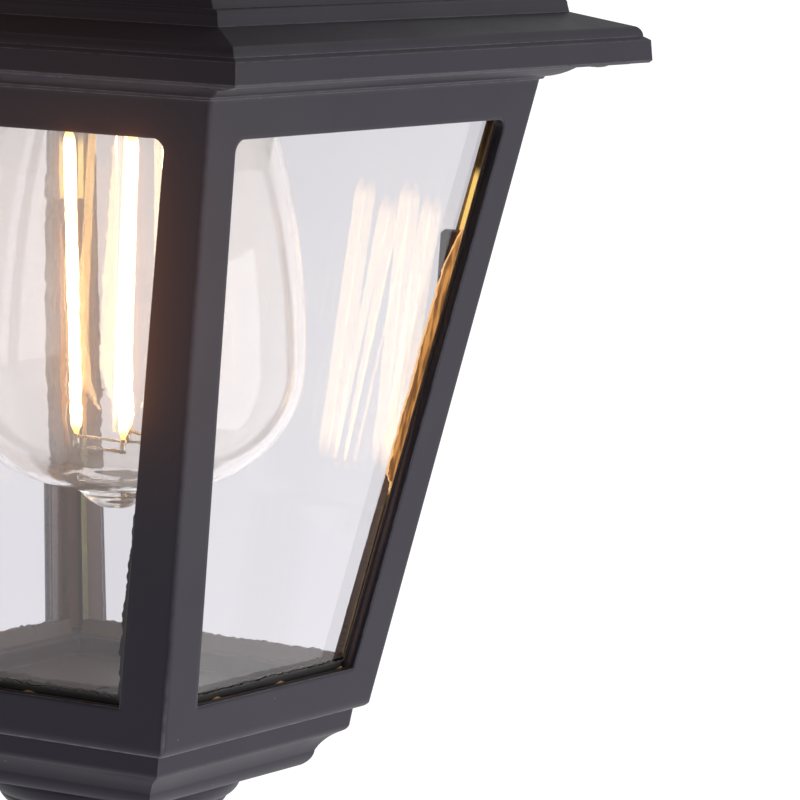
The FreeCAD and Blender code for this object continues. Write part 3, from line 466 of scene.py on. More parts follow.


# Satin powder coat over cast metal: a fine grain, a slow mottle, painted highlights on the edges and
# specks of dust
def powder_coat(name, edge_round, on_cage=False):
    coat = Finish(name)
    grain = coat.noise(scale=1700.0, detail=3.0, roughness=0.6)
    mottle = coat.noise(scale=60.0, detail=3.0)
    body = coat.mix(MOTTLE_SHARE * mottle + GRAIN_SHARE * grain, COAT_DARK, COAT_LIGHT)
    flat = coat.node("ShaderNodeNewGeometry", result="Normal")
    # Mask of rounded edges that take the painted highlight
    edge = coat.rise(1 - coat.dot(coat.bevel(HIGHLIGHT_WIDTH), flat), *HIGHLIGHT_TURNS)
    if on_cage:
        # Painted lamplight on the inside of the cage's walls
        body = cage_painted_inner_light(coat, body)
        # Painted highlights on the cage's corners and foot
        edge = edge.larger(cage_painted_highlights(coat))
    wear_and_highlight = edge * coat.rise(coat.noise(scale=330.0, detail=3.0), *HIGHLIGHT_PATCHES)
    body = coat.mix(wear_and_highlight, body, EDGE_HIGHLIGHT)
    dust = coat.specks(scale=210.0, size=0.035, share=0.4)
    return coat.done(coat.surface({
        "Base Color": coat.mix(dust * DUST_COVER, body, DUST), "Specular IOR Level": 0.3,
        "Roughness": 0.38 + 0.12 * mottle + 0.1 * grain, "Specular Tint": COAT_TINT,
        "Normal": coat.bump(grain + 0.6 * mottle, strength=0.16, depth=0.07, edge_round=edge_round)}))


# Zinc-plated steel with a cloudy, slightly yellow bloom
def zinc_plate():
    zinc = Finish("zinc_plate")
    cloud = zinc.noise(scale=140.0, detail=4.0)
    brushed = zinc.noise(scale=1800.0)
    return zinc.done(zinc.surface({
        "Base Color": zinc.mix(cloud, (0.46, 0.47, 0.48, 1.0), (0.62, 0.6, 0.52, 1.0)), "Metallic": 1.0,
        "Roughness": 0.28 + 0.2 * cloud,
        "Normal": zinc.bump(brushed, strength=0.1, depth=0.05, edge_round=0.15)}))


# Blackened steel of screws and nuts
def black_steel():
    steel = Finish("black_steel")
    cloud = steel.noise(scale=220.0, detail=3.0)
    wear_and_highlight = steel.specks(scale=900.0, size=0.3, share=0.25)
    return steel.done(steel.surface({
        "Base Color": steel.mix(wear_and_highlight * 0.3, steel.mix(cloud, grey(0.018), grey(0.032)), grey(0.16)),
        "Metallic": 0.4, "Roughness": 0.34 + 0.2 * cloud,
        "Normal": steel.bump(cloud, strength=0.15, depth=0.05, edge_round=0.2)}))


# Brass that has dulled in places
def brass():
    metal = Finish("brass")
    tarnish = metal.noise(scale=190.0, detail=4.0)
    return metal.done(metal.surface({
        "Base Color": metal.mix(tarnish, (0.72, 0.5, 0.19, 1.0), (0.5, 0.32, 0.1, 1.0)), "Metallic": 1.0,
        "Roughness": 0.22 + 0.25 * tarnish,
        "Normal": metal.bump(tarnish, strength=0.1, depth=0.05, edge_round=0.15)}))


# Nickel plate of the lamp's cap
def nickel_plate():
    nickel = Finish("nickel_plate")
    cloud = nickel.noise(scale=260.0, detail=3.0)
    return nickel.done(nickel.surface({
        "Base Color": nickel.mix(cloud, (0.66, 0.63, 0.58, 1.0), (0.54, 0.51, 0.47, 1.0)), "Metallic": 1.0,
        "Roughness": 0.18 + 0.18 * cloud,
        "Normal": nickel.bump(cloud, strength=0.08, depth=0.05, edge_round=0.1)}))


# Dull solder with the dimples of a drop that cooled
def solder():
    drop = Finish("solder")
    dimples = drop.noise(scale=900.0)
    return drop.done(drop.surface({
        "Base Color": drop.mix(dimples, grey(0.5), grey(0.66)), "Metallic": 1.0,
        "Roughness": 0.3 + 0.2 * dimples, "Normal": drop.bump(dimples, strength=0.4, depth=0.2)}))


# Closed-cell foam of the gaskets
def foam():
    rubber = Finish("foam")
    cells = rubber.cells(1500.0, "Distance")
    return rubber.done(rubber.surface({
        "Base Color": rubber.mix(cells, grey(0.014), grey(0.035)), "Roughness": 0.8 + 0.1 * cells,
        "Normal": rubber.bump(cells, strength=0.5, depth=0.15)}))


# Black glazing sealant, smeared and lumpy, with painted lamplight behind and beside the panes, warm near
# the lamp
def sealant():
    paste = Finish("sealant")
    lumps = paste.noise(scale=420.0)
    smear = paste.noise(scale=90.0)
    depth = paste.cage_depth()
    nearest, farthest = LAMPLIT_BESIDE_DEPTHS
    behind_pane = depth > LAMPLIT_BEHIND_DEPTH
    beside_pane = (depth > nearest) * (depth < farthest) * (paste.level() > PANE_BOTTOM)
    # Painted lamplight colour, warmer near the lamp
    lamplit = paste.mix(paste.rise(paste.level(), *PAINTED_LAMPLIGHT_LEVELS), paste.mix(smear, *LAMPLIT_SEAL), PAINTED_LAMPLIGHT)
    cover = LAMPLIT_BEHIND_COVER * behind_pane + beside_pane
    return paste.done(paste.surface({
        "Base Color": paste.mix(cover, paste.mix(smear, *FRESH_SEAL), lamplit),
        "Roughness": 0.35 + 0.25 * smear, "Normal": paste.bump(lumps, strength=0.2, depth=0.15)}))


# Amber setting pads under the panes
def pad_rubber():
    pad = Finish("pad_rubber")
    cloud = pad.noise(scale=600.0, detail=3.0)
    return pad.done(pad.surface({
        "Base Color": pad.mix(cloud, (0.42, 0.25, 0.09, 1.0), (0.6, 0.4, 0.17, 1.0)),
        "Roughness": 0.35 + 0.2 * cloud, "Normal": pad.bump(cloud, strength=0.2, depth=0.1)}))


# Clear glass that lets the light of the lamp out
def clear_glass(glass, light, dark, smudge, index):
    haze = glass.noise(scale=28.0, detail=4.0, roughness=0.6)
    body = glass.surface({
        "Base Color": glass.mix(haze, light, dark), "Roughness": haze * smudge, "IOR": index,
        "Transmission Weight": 1.0})
    open_way = glass.node("ShaderNodeBsdfTransparent", {}, {"Color": light})
    shadow = glass.node("ShaderNodeLightPath", result="Is Shadow Ray")
    return glass.blend(shadow, body, open_way)


# Lamp glass, thin and clear under a faint film that catches the glow
def lamp_glass():
    glass = Finish("lamp_glass")
    clear = clear_glass(glass, *LAMP_CLEAR, LAMP_SMUDGE, LAMP_INDEX)
    film = glass.node("ShaderNodeBsdfTranslucent", {}, {"Color": LAMP_FILM})
    cover = LAMP_FILM_LEAST + LAMP_FILM_MORE * glass.noise(scale=40.0, detail=3.0)
    return glass.done(glass.blend(cover, clear, film))


# Pane glass whose snapped end faces, across the given axis, carry a painted glow in emission for the
# lamp's light
# piped out: bright above the clip, amber and chipped beside it, dull below the lamp. A shelled pane also
# has a ragged shell broken off its inner face beside one end, painted with a streaked glow and a bright
# rim, and a painted broken glint below the lamp
def pane_glass(name, axis, across, end_colours, shelled=False):
    glass = Finish(name)
    clear = clear_glass(glass, *PANE_CLEAR, PANE_SMUDGE, PANE_INDEX)
    chips = glass.noise(scale=700.0, detail=4.0, roughness=0.7)
    facing = glass.node("ShaderNodeTexCoord", result="Normal")
    cut = abs(glass.along(facing, axis)) > END_FACING
    level = glass.level()
    depth = CAGE_TOP_HALF + CAGE_SLOPE * level - glass.out(across)
    above_foot = glass.rise(level + GLOW_FOOT_CHIPS * chips, *GLOW_FOOT_LEVELS)
    below_top = 1 - glass.rise(level + GLOW_TOP_CHIPS * chips, *GLOW_TOP_LEVELS)
    above_clip = glass.rise(level, *GLOW_CLIP_LEVELS)
    edge_chips = glass.rise(depth + EDGE_CHIP_SIZE * chips, *EDGE_CHIP_DEPTHS)
    outer_half = 1 - glass.rise(depth + OUTER_HALF_CHIPS * chips, *OUTER_HALF_DEPTHS)
    # Painted amber glow of the ends beside the clip, brightest at chipped edges
    amber = glass.mix(edge_chips, glass.mix(outer_half, INNER_AMBER_GLOW, OUTER_AMBER_GLOW), CHIP_GLOW)
    glow = glass.mix(above_foot * (1 - above_clip), grey(0.0), amber)
    glow = glass.mix(above_clip * below_top, glow, BRIGHT_GLOW)
    if shelled:
        # Painted glint in emission, in broken patches along a thin band
        patches = glass.rise(glass.noise(scale=160.0, detail=1.0), *GLINT_PATCHES)
        glint = (abs(depth - GLINT_DEPTH) < GLINT_HALF) * patches
        glow = glass.mix(glint * (1 - above_foot), glow, GLINT_GLOW)
        from_end = pane_half(0.0) + CAGE_SLOPE * level - glass.along(glass.place, axis) / MM
        inward = from_end + SHELL_RAGGED * glass.noise(scale=380.0, detail=3.0)
        reach = SHELL_REACH * glass.rise(CLIP_TOP - level, *SHELL_DROPS) * above_foot
        shell = (depth > SHELL_DEPTH) * (inward < reach)
        rim = shell * (inward > reach - SHELL_RIM)
        # Painted streaked glow over the shell, with a painted bright rim
        stretched = glass.node("ShaderNodeMapping", {}, {"Vector": glass.place, "Scale": SHELL_STRETCH})
        streaks = glass.rise(glass.noise(scale=800.0, place=stretched), *SHELL_STREAKS)
        streaked = glass.mix(streaks, SHELL_GLOW_DARK, SHELL_GLOW_BRIGHT)
        glow = glass.mix(shell, glow, glass.mix(rim, streaked, SHELL_RIM_GLOW))
        cut = cut.larger(shell)
    # The frosted ends and shell glow with painted light through their emission
    frosted = glass.surface({
        "Base Color": glass.mix(chips, *end_colours), "Roughness": 0.35, "Emission Color": glow,
        "Emission Strength": 1.0, "Normal": glass.bump(chips, strength=0.6, depth=0.3)})
    return glass.done(glass.blend(cut, clear, frosted))


# Glowing filament with the brighter beads of its chips, dim and orange at its ends
def filament_glow():
    glow = Finish("filament_glow")
    beads = glow.noise(scale=900.0, detail=1.0)
    above_foot = glow.rise(glow.level(), FILAMENT_FOOT, FILAMENT_FOOT + FILAMENT_FADE)
    below_head = glow.rise(glow.drop(), -FILAMENT_HEAD, FILAMENT_FADE - FILAMENT_HEAD)
    bright = glow.mix(beads, (1.0, 0.62, 0.26, 1.0), (1.0, 0.7, 0.34, 1.0))
    return glow.done(glow.surface({
        "Base Color": glow.mix(beads, (0.9, 0.6, 0.2, 1.0), (1.0, 0.75, 0.35, 1.0)), "Roughness": 0.5,
        "Emission Color": glow.mix(above_foot * below_head, (0.3, 0.13, 0.02, 1.0), bright),
        "Emission Strength": FILAMENT_STRENGTH}))


# Bright lead-in wire
def lead_in_wire():
    wire = Finish("lead_in_wire")
    cloud = wire.noise(scale=800.0)
    return wire.done(wire.surface({
        "Base Color": wire.mix(cloud, (0.66, 0.6, 0.5, 1.0), (0.5, 0.44, 0.36, 1.0)), "Metallic": 1.0,
        "Roughness": 0.2 + 0.15 * cloud}))


# Moulded plastic in one colour with a fine grain
def moulded(name, light, dark, rough, grain_scale):
    plastic = Finish(name)
    grain = plastic.noise(scale=grain_scale, detail=3.0)
    return plastic.done(plastic.surface({
        "Base Color": plastic.mix(grain, light, dark), "Roughness": rough + 0.12 * grain,
        "Normal": plastic.bump(grain, strength=0.15, depth=0.05, edge_round=0.2)}))


# Jacket of a lead inside the arm
def jacket(name, light, dark):
    return moulded(name, light, dark, rough=0.38, grain_scale=600.0)


# Glazed porcelain with a few kiln specks
def porcelain():
    ware = Finish("porcelain")
    cloud = ware.noise(scale=180.0, detail=3.0)
    specks = ware.specks(scale=500.0, size=0.08, share=0.3)
    body = ware.mix(cloud, (0.82, 0.8, 0.75, 1.0), (0.74, 0.71, 0.65, 1.0))
    return ware.done(ware.surface({
        "Base Color": ware.mix(specks, body, (0.4, 0.33, 0.25, 1.0)), "Roughness": 0.3 + 0.2 * cloud,
        "Normal": ware.bump(cloud, strength=0.1, depth=0.05, edge_round=0.2)}))


# Green lead with a yellow stripe
def earth_jacket():
    lead = Finish("earth_jacket")
    stripes_along = 5200.0
    yellow = (lead.along(lead.place, "Y") * stripes_along).sine() > 0.3
    return lead.done(lead.surface({
        "Base Color": lead.mix(yellow, (0.05, 0.28, 0.06, 1.0), (0.75, 0.62, 0.06, 1.0)),
        "Roughness": 0.35 + 0.1 * lead.noise(scale=400.0)}))


finishes = {
    "powder_coat": powder_coat("powder_coat", EDGE_ROUND),
    "zinc_steel": zinc_plate(),
    "black_steel": black_steel(),
    "brass": brass(),
    "nickel_brass": nickel_plate(),
    "solder": solder(),
    "foam_gasket": foam(),
    "sealant": sealant(),
    "pad": pad_rubber(),
    "pane_glass": pane_glass("pane_glass", "X", "Y", FRONT_END),
    "lamp_glass": lamp_glass(),
    "filament": filament_glow(),
    "wire": lead_in_wire(),
    "phenolic": moulded("phenolic", grey(0.03), grey(0.016), rough=0.32, grain_scale=900.0),
    "porcelain": porcelain(),
    "cap_insulator": moulded("cap_insulator", grey(0.022), grey(0.01), rough=0.12, grain_scale=400.0),
    "terminal_nylon": moulded("terminal_nylon", (0.8, 0.78, 0.72, 1.0), (0.68, 0.66, 0.6, 1.0),
                              rough=0.4, grain_scale=500.0),
    "lead_brown": jacket("lead_brown", (0.17, 0.065, 0.025, 1.0), (0.12, 0.045, 0.018, 1.0)),
    "lead_blue": jacket("lead_blue", (0.03, 0.11, 0.42, 1.0), (0.02, 0.07, 0.3, 1.0)),
    "lead_green": earth_jacket(),
}
side_glass = pane_glass("side_pane_glass", "Y", "X", SIDE_END)
own_finish = {
    "left_pane": side_glass,
    "right_pane": side_glass,
    "front_pane": pane_glass("front_pane_glass", "X", "Y", FRONT_END, shelled=True),
    "finial_stud": finishes["black_steel"],
    "cage_frame": powder_coat("cage_coat", CAGE_EDGE_ROUND, on_cage=True),
}
for name, node in nodes.items():
    node.data.materials.clear()
    node.data.materials.append(own_finish.get(name, finishes[slot_of[name]]))


# A new piece on a body, in place of a node
def piece(name, mesh, body, node):
    made = bpy.data.objects.new(name, mesh)
    bpy.context.scene.collection.objects.link(made)
    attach(made, body)
    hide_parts(node)


# Faces between two rings of corners
def add_band(mesh, here, there):
    for index in range(len(here)):
        following = (index + 1) % len(here)
        mesh.faces.new((here[index], here[following], there[following], there[index]))


# Closed bar through loops of corners
def add_bar(mesh, loops):
    rings = [[mesh.verts.new(corner) for corner in loop] for loop in loops]
    for here, there in zip(rings, rings[1:]):
        add_band(mesh, here, there)
    mesh.faces.new(reversed(rings[0]))
    mesh.faces.new(rings[-1])


def smooth(mesh):
    for face in mesh.faces:
        face.smooth = True


# Mesh in millimetres about a place, as a piece in the finish of the node it stands for
def finish_mesh(mesh, name, place, body, node):
    bmesh.ops.recalc_face_normals(mesh, faces=mesh.faces)
    mesh.transform(Matrix.Scale(MM, 4) @ Matrix.Translation(place))
    data = bpy.data.meshes.new(name)
    mesh.to_mesh(data)
    mesh.free()
    data.materials.append(finishes[slot_of[node]])
    piece(name, data, body, node)


# Uneven edge that repeats nowhere, from a lot and a way along
def ragged(lot, way):
    coarse = noise.noise(Vector((lot * COARSE_LOT, way * COARSE_WAY, COARSE_CUT)))
    fine = noise.noise(Vector((lot * FINE_LOT, way * FINE_WAY, FINE_CUT)))
    return coarse + FINE_SHARE * fine


# Steps from one end to the other
def steps(start, end, step):
    count = max(2, round(abs(end - start) / step))
    return [start + (end - start) * index / count for index in range(count + 1)]


# Equal angles round a circle
def circle(count):
    return [2 * math.pi * step / count for step in range(count)]


# Glazing sealant of one wall: two sides and a top behind the frame, a bed under the pane, a smear up the
# pane's inner face and a lip up its outer face
def glazing_sealant(lot, wall):
    mesh = bmesh.new()

    def corner(across, level, depth):
        return Vector((across, -cage_half(level, depth), level))

    for side, show_low in zip((-1, 1), SEAL_SHOW_LOW[wall]):
        side_loops = []
        for level in steps(CURB_LEVEL, PANE_TOP, SEAL_STEP):
            low_share = min(1.0, max(0.0, level / SEAL_SHOW_LEVEL - 1))
            show = SEAL_SHOW + low_share * show_low * (1 + SEAL_RAGGED * ragged(lot + side, level))
            inner = side * (window_half(level) - show)
            outer = side * pane_half(level)
            side_loops.append([
                corner(inner, level, CAGE_WALL), corner(outer, level, CAGE_WALL),
                corner(outer, level, PANE_OUTSIDE), corner(inner, level, PANE_OUTSIDE)])
        add_bar(mesh, side_loops)
    reach = window_half(WINDOW_TOP) - SEAL_SHOW
    top_loops = []
    for across in steps(-reach, reach, SEAL_STEP):
        foot = WINDOW_TOP - SEAL_SHOW + TOP_RAGGED * ragged(lot + TOP_LOT, across)
        top_loops.append([
            corner(across, PANE_TOP, CAGE_WALL), corner(across, foot, CAGE_WALL),
            corner(across, foot, PANE_OUTSIDE), corner(across, PANE_TOP, PANE_OUTSIDE)])
    add_bar(mesh, top_loops)
    bed_loops = []
    smear_loops = []
    lip_loops = []
    lip_foot = PANE_BOTTOM - LIP_SINK
    lip_face = PANE_OUTSIDE - SEAL_SKIN
    reach = pane_half(CURB_LEVEL)
    for across in steps(-reach, reach, SEAL_STEP):
        bed_loops.append([
            corner(across, CURB_LEVEL, PANE_OUTSIDE), corner(across, CURB_LEVEL, PANE_INSIDE),
            corner(across, PANE_BOTTOM, PANE_INSIDE), corner(across, PANE_BOTTOM, PANE_OUTSIDE)])
        top = PANE_BOTTOM + FOOT_BAND + FOOT_RAGGED * ragged(lot + FOOT_LOT, across)
        smear_loops.append([
            corner(across, CURB_LEVEL, PANE_INSIDE), corner(across, CURB_LEVEL, PANE_INSIDE + FOOT_SKIN),
            corner(across, top, PANE_INSIDE + SEAL_SKIN), corner(across, top, PANE_INSIDE)])
        lip = PANE_BOTTOM + LIP_RISE + FOOT_RAGGED * ragged(lot + LIP_LOT, across)
        lip_loops.append([
            corner(across, lip_foot, lip_face), corner(across, lip_foot, PANE_OUTSIDE),
            corner(across, lip, PANE_OUTSIDE), corner(across, lip, lip_face)])
    add_bar(mesh, bed_loops)
    add_bar(mesh, smear_loops)
    add_bar(mesh, lip_loops)
    mesh.transform(Matrix.Rotation(QUARTER_TURN * WALLS.index(wall), 4, "Z"))
    finish_mesh(mesh, wall + "_sealant", LANTERN_AXIS, "cage", wall + "_seal")


# Corner wedges that hold the panes apart, wide at the shoulder and narrow at the foot
def corner_clips():
    mesh = bmesh.new()
    levels = ((CLIP_TOP - CLIP_HEIGHT, CLIP_FOOT_REACH), (CLIP_TOP - CLIP_SHOULDER, CLIP_REACH),
              (CLIP_TOP, CLIP_REACH - CLIP_SHOULDER))
    for turn in range(len(WALLS)):
        around = Matrix.Rotation(QUARTER_TURN * turn, 3, "Z")
        loops = []
        for level, width in levels:
            corner = cage_half(level, PANE_INSIDE) - SLIP_GAP
            reach = corner - width
            edge = corner - CLIP_EDGE
            outline = ((corner, corner), (reach, corner), (reach, edge), (edge, reach), (corner, reach))
            loops.append([around @ Vector((x, y, level)) for x, y in outline])
        add_bar(mesh, loops)
    finish_mesh(mesh, "corner_clips", LANTERN_AXIS, "cage", "pane_clips")


# Round rod through centres, each with its radius
def add_rod(mesh, stops):
    turn = UP.rotation_difference(stops[-1][0] - stops[0][0])
    add_bar(mesh, [[centre + turn @ Vector((radius * math.cos(angle), radius * math.sin(angle), 0))
                    for angle in circle(ROD_SIDES)] for centre, radius in stops])


# Rod of one radius from one place to another
def add_wire(mesh, start, end, radius):
    add_rod(mesh, [(start, radius), (end, radius)])


# Lower and upper ends of the filaments about the lamp's axis
def filament_ends():
    return [(Vector((*foot, FILAMENT_FOOT)), Vector((*head, FILAMENT_HEAD)))
            for foot, head in zip(FILAMENT_FEET, FILAMENT_HEADS)]


# Filaments as slightly uneven strands with narrow ends
def filament_strands():
    mesh = bmesh.new()
    for lot, (foot, head) in enumerate(filament_ends()):
        stops = []
        for share in steps(0.0, 1.0, 1.0 / FILAMENT_RINGS):
            taper = min(1.0, FILAMENT_END + FILAMENT_TAPER * min(share, 1 - share))
            uneven = 1 + FILAMENT_UNEVEN * ragged(lot, share * FILAMENT_RINGS)
            stops.append((foot.lerp(head, share), FILAMENT_RADIUS * taper * uneven))
        add_rod(mesh, stops)
    smooth(mesh)
    finish_mesh(mesh, "filament_strands", LANTERN_AXIS, "lamp", "filaments")


# Wires from the stem to the filaments, crimps on their feet and pairs of wires that join the crimps
def lead_in_wires():
    mesh = bmesh.new()
    ends = filament_ends()
    for foot, head in ends:
        hub = Vector((head.x, head.y, 0)).normalized() * HUB_RADIUS + UP * HUB_LEVEL
        add_wire(mesh, hub, head, WIRE_RADIUS)
        add_wire(mesh, foot, foot - UP * CRIMP_LENGTH, CRIMP_RADIUS)
    for first, second in BRIDGED:
        for drop in BRIDGE_DROPS:
            add_wire(mesh, ends[first][0] - UP * drop, ends[second][0] - UP * drop, WIRE_RADIUS)
    smooth(mesh)
    finish_mesh(mesh, "lead_in_wires", LANTERN_AXIS, "lamp", "filament_wires")


# Rolled thread of the lamp's cap, over a plain bore
def lamp_cap_thread():
    low, high = (Vector(corner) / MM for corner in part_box("lamp_cap"))
    middle = (low + high) / 2
    crest = (high.x - low.x) / 2
    bore = crest - THREAD_HEIGHT - CAP_WALL

    def place(angle, radius, level):
        return Vector((radius * math.cos(angle), radius * math.sin(angle), level))

    rows = []
    for level in steps(low.z, high.z, (high.z - low.z) / THREAD_RISE_STEPS):
        end_share = min(1.0, (level - low.z) / THREAD_PITCH, (high.z - level) / THREAD_PITCH)
        row = []
        for angle in circle(THREAD_TURN_STEPS):
            wave = 0.5 + 0.5 * math.cos(angle - 2 * math.pi * level / THREAD_PITCH)
            radius = crest - THREAD_HEIGHT * end_share * wave - 0.5 * THREAD_HEIGHT * (1 - end_share)
            row.append(place(angle, radius, level))
        rows.append(row)
    for level in (high.z, low.z):
        rows.append([place(angle, bore, level) for angle in circle(THREAD_TURN_STEPS)])
    mesh = bmesh.new()
    rings = [[mesh.verts.new(corner) for corner in row] for row in rows]
    for here, there in zip(rings, rings[1:] + rings[:1]):
        add_band(mesh, here, there)
    smooth(mesh)
    finish_mesh(mesh, "lamp_cap_thread", Vector((middle.x, middle.y, 0)), "lamp", "lamp_cap")


class ScrewTree(Tree):
    """Domed screws with a slot or a cross on given points, facing up."""

    SIZES = ("Head radius", "Head height", "Slot width", "Slot depth", "Cross", "Shank radius",
             "Shank length")
    DOME_SIDES = 28
    DOME_RINGS = 18
    SHANK_SIDES = 20
    BLOCK_REACH = 4
    BLOCK_DROP = 0.96
    SLOT_REACH = 1.3
    CROSS_INSET = (0.97, 0.94, 0.99)

    def __init__(self):
        self.group = bpy.data.node_groups.new("screws", "GeometryNodeTree")
        super().__init__(self.group)
        self.keys = {}
        self.takes("Places", "NodeSocketGeometry")
        for name in self.SIZES:
            self.takes(name, "NodeSocketFloat")
        self.takes("Material", "NodeSocketMaterial")
        self.group.interface.new_socket("Screws", in_out="OUTPUT", socket_type="NodeSocketGeometry")
        given = {name: self.node("NodeGroupInput", result=name) for name in self.keys}
        radius = given["Head radius"]
        height = given["Head height"]
        length = given["Shank length"]
        ball = self.node("GeometryNodeMeshUVSphere", {}, {
            "Segments": self.DOME_SIDES, "Rings": self.DOME_RINGS, "Radius": 1.0})
        dome = self.moved(ball, scale=self.vector(radius, radius, height))
        width = self.BLOCK_REACH * radius
        under = self.vector(0, 0, -self.BLOCK_DROP * height)
        below = self.moved(self.block(width, width, 2 * height), under)
        slot_block = self.block(self.SLOT_REACH * radius, given["Slot width"], 2 * given["Slot depth"])
        slot = self.moved(slot_block, self.vector(0, 0, height))
        across = self.vector(0, 0, given["Cross"] * QUARTER_TURN)
        second = self.moved(slot, turn=across, scale=self.vector(*self.CROSS_INSET))
        head = self.node("GeometryNodeMeshBoolean", {"operation": "DIFFERENCE"},
                         {"Mesh 1": dome, "Mesh 2": [below, slot, second]})
        bar = self.node("GeometryNodeMeshCylinder", {}, {
            "Vertices": self.SHANK_SIDES, "Radius": given["Shank radius"], "Depth": length})
        shank = self.moved(bar, self.vector(0, 0, -0.5 * length))
        screw = self.node("GeometryNodeJoinGeometry", {}, {"Geometry": [head, shank]})
        spread = self.node("GeometryNodeInstanceOnPoints", {}, {
            "Points": given["Places"], "Instance": screw})
        real = self.node("GeometryNodeRealizeInstances", {}, {"Geometry": spread})
        coloured = self.node("GeometryNodeSetMaterial", {}, {
            "Geometry": real, "Material": given["Material"]})
        self.node("NodeGroupOutput", {}, {"Screws": coloured})

    def takes(self, name, kind):
        added = self.group.interface.new_socket(name, in_out="INPUT", socket_type=kind)
        self.keys[name] = added.identifier

    def vector(self, x, y, z):
        return self.node("ShaderNodeCombineXYZ", {}, {"X": x, "Y": y, "Z": z})

    def block(self, x, y, z):
        return self.node("GeometryNodeMeshCube", {}, {"Size": self.vector(x, y, z)})

    def moved(self, shape, by=None, turn=None, scale=None):
        sockets = {"Geometry": shape}
        for name, value in (("Translation", by), ("Rotation", turn), ("Scale", scale)):
            if value is not None:
                sockets[name] = value
        return self.node("GeometryNodeTransform", {}, sockets)


# Screws in place of a node, at places in millimetres and facing one way
def screws(tree, name, node, body, facing, places, sizes):
    turn = UP.rotation_difference(facing).to_matrix().to_4x4()
    points = bpy.data.meshes.new(name + "_places")
    points.from_pydata([turn.inverted() @ place for place in places], [], [])
    holder = bpy.data.objects.new(name + "_places", points)
    bpy.context.scene.collection.objects.link(holder)
    modifier = holder.modifiers.new("screws", "NODES")
    modifier.node_group = tree.group
    for label, value in sizes.items():
        modifier[tree.keys[label]] = value
    modifier[tree.keys["Material"]] = finishes[slot_of[node]]
    ready = holder.evaluated_get(bpy.context.evaluated_depsgraph_get())
    data = bpy.data.meshes.new_from_object(ready)
    holder.modifiers.remove(modifier)
    bpy.data.objects.remove(holder)
    data.transform(Matrix.Scale(MM, 4) @ turn)
    piece(name, data, body, node)


# Cross-head screws under the brim, slotted clamp screws in the terminal block and the earth screw
def all_screws():
    tree = ScrewTree()
    out = CAGE_SCREW_PLACE
    corners = [LANTERN_AXIS + Vector((x * out, y * out, CAGE_SCREW_LEVEL))
               for x in (-1, 1) for y in (-1, 1)]
    screws(tree, "cage_screw_heads", "cage_screws", "cage", -UP, corners, CAGE_SCREW)
    clamps = [Vector((x, CLAMP_OUT, z)) for x in CLAMP_COLUMNS for z in CLAMP_ROWS]
    screws(tree, "clamp_screws", "terminal_screws", "bracket", FRONT, clamps, CLAMP_SCREW)
    screws(tree, "earth_terminal", "earth_screw", "bracket", FRONT, [EARTH_PLACE], EARTH_SCREW)


for lot, wall in enumerate(WALLS):
    glazing_sealant(lot * WALL_LOTS, wall)
corner_clips()
filament_strands()
lead_in_wires()
lamp_cap_thread()
all_screws()


# Pale floor under the light
def pale_floor():
    paper = Finish("pale_floor")
    cloud = paper.noise(scale=6.0, detail=4.0)
    material = paper.done(paper.surface({
        "Base Color": paper.mix(cloud, grey(0.84), grey(0.8)), "Roughness": 0.6 + 0.1 * cloud,
        "Emission Color": paper.mix(cloud, grey(1.0), grey(0.96)), "Emission Strength": FLOOR_GLOW}))
    half = FLOOR_HALF
    mesh = bpy.data.meshes.new("floor")
    corners = [(-half, -half, FLOOR_LEVEL), (half, -half, FLOOR_LEVEL), (half, half, FLOOR_LEVEL),
               (-half, half, FLOOR_LEVEL)]
    mesh.from_pydata(corners, [], [(0, 1, 2, 3)])
    mesh.materials.append(material)
    floor = bpy.data.objects.new("floor", mesh)
    bpy.context.scene.collection.objects.link(floor)
    floor.visible_glossy = False
    floor.visible_transmission = False


# Directions to the right, up and ahead as the camera sees them
def camera_axes():
    flat = math.cos(CAMERA_PITCH)
    ahead = Vector((math.sin(CAMERA_YAW) * flat, math.cos(CAMERA_YAW) * flat, -math.sin(CAMERA_PITCH)))
    level_right = Vector((math.cos(CAMERA_YAW), -math.sin(CAMERA_YAW), 0))
    level_up = level_right.cross(ahead)
    right = level_right * math.cos(CAMERA_ROLL) + level_up * math.sin(CAMERA_ROLL)
    up = level_up * math.cos(CAMERA_ROLL) - level_right * math.sin(CAMERA_ROLL)
    return right, up, ahead


def photo_camera():
    right, up, ahead = camera_axes()
    data = bpy.data.cameras.new("camera")
    data.lens = CAMERA_LENS
    data.clip_start = CAMERA_CLIP
    camera = bpy.data.objects.new("camera", data)
    turn = Matrix((right, up, -ahead)).transposed().to_4x4()
    camera.matrix_world = Matrix.Translation(CAMERA_PLACE) @ turn
    bpy.context.scene.collection.objects.link(camera)
    bpy.context.scene.camera = camera


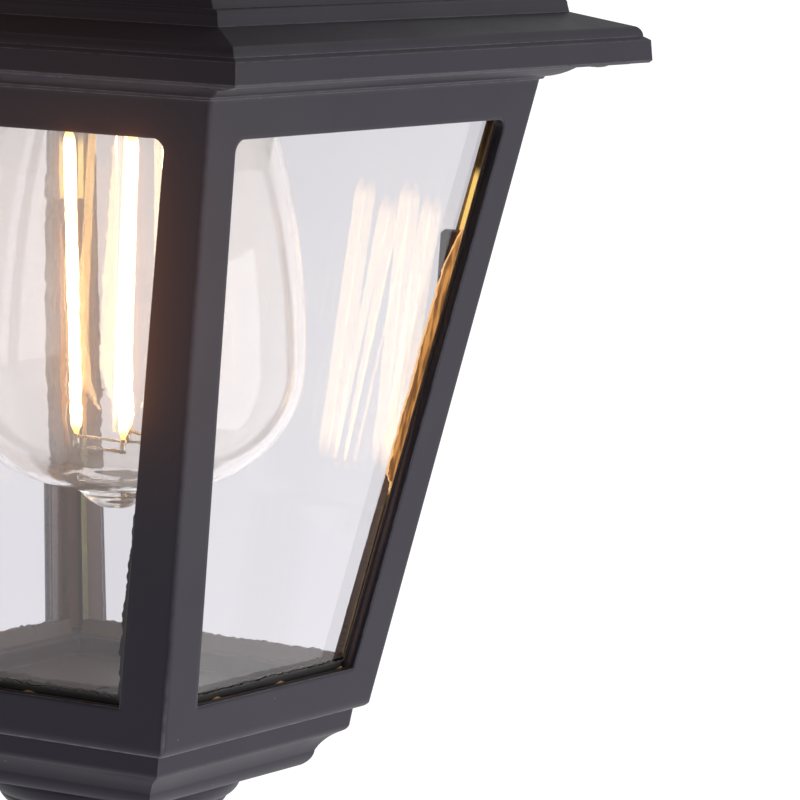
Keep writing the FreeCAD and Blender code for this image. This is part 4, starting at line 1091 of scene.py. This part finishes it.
# Soft studio sky: bright on one side, behind and below, with light thrown back from the wall's side, and
# dim elsewhere
def studio_sky():
    world = bpy.data.worlds.new("studio")
    bpy.context.scene.world = world
    world.use_nodes = True
    sky = Tree(world.node_tree)
    way = sky.node("ShaderNodeTexCoord", result="Generated")
    right, _, ahead = camera_axes()

    def towards(direction):
        return sky.dot(way, direction).larger(0.0)

    side = towards((right - SIDE_DROP * UP).normalized())
    behind = towards(ahead)
    over = towards(UP)
    under = towards(-UP)
    wall = towards(WALL_DIRECTION)
    strength = (SHADE_STRENGTH + SIDE_STRENGTH * side + BEHIND_STRENGTH * behind + OVERHEAD_STRENGTH * over
                + UNDER_STRENGTH * under + WALL_STRENGTH * wall * wall * wall)
    soft = sky.node("ShaderNodeBackground", {}, {"Color": SKY_TINT, "Strength": strength})
    backdrop = sky.node("ShaderNodeBackground", {}, {"Color": WHITE, "Strength": BACKDROP_STRENGTH})
    seen = sky.node("ShaderNodeLightPath", result="Is Camera Ray")
    shader = sky.node("ShaderNodeMixShader", {}, {0: seen, 1: soft, 2: backdrop})
    sky.node("ShaderNodeOutputWorld", {}, {"Surface": shader})


# Square soft box that faces the middle of the light
def soft_box(name, size, power, offset):
    low, high = cad_box
    data = bpy.data.lights.new(name, "AREA")
    data.size = size
    data.energy = power
    lamp = bpy.data.objects.new(name, data)
    lamp.location = (Vector(low) + Vector(high)) / 2 + offset
    lamp.rotation_euler = (-offset).to_track_quat("-Z", "Y").to_euler()
    lamp.visible_camera = False
    bpy.context.scene.collection.objects.link(lamp)


# Warm bloom round the filaments
def bloom():
    scene = bpy.context.scene
    scene.use_nodes = True
    tree = Tree(scene.node_tree)
    picture = tree.node("CompositorNodeRLayers")
    glare = tree.node("CompositorNodeGlare", {"glare_type": "BLOOM"}, {
        "Image": picture, "Threshold": BLOOM_THRESHOLD, "Strength": BLOOM_STRENGTH, "Size": BLOOM_SIZE,
        "Tint": BLOOM_TINT})
    tree.node("CompositorNodeComposite", {}, {"Image": glare})


pale_floor()
photo_camera()
studio_sky()
soft_box("key", KEY_SIZE, KEY_POWER, KEY_OFFSET)
bloom()
bpy.context.scene.view_settings.view_transform = "Standard"
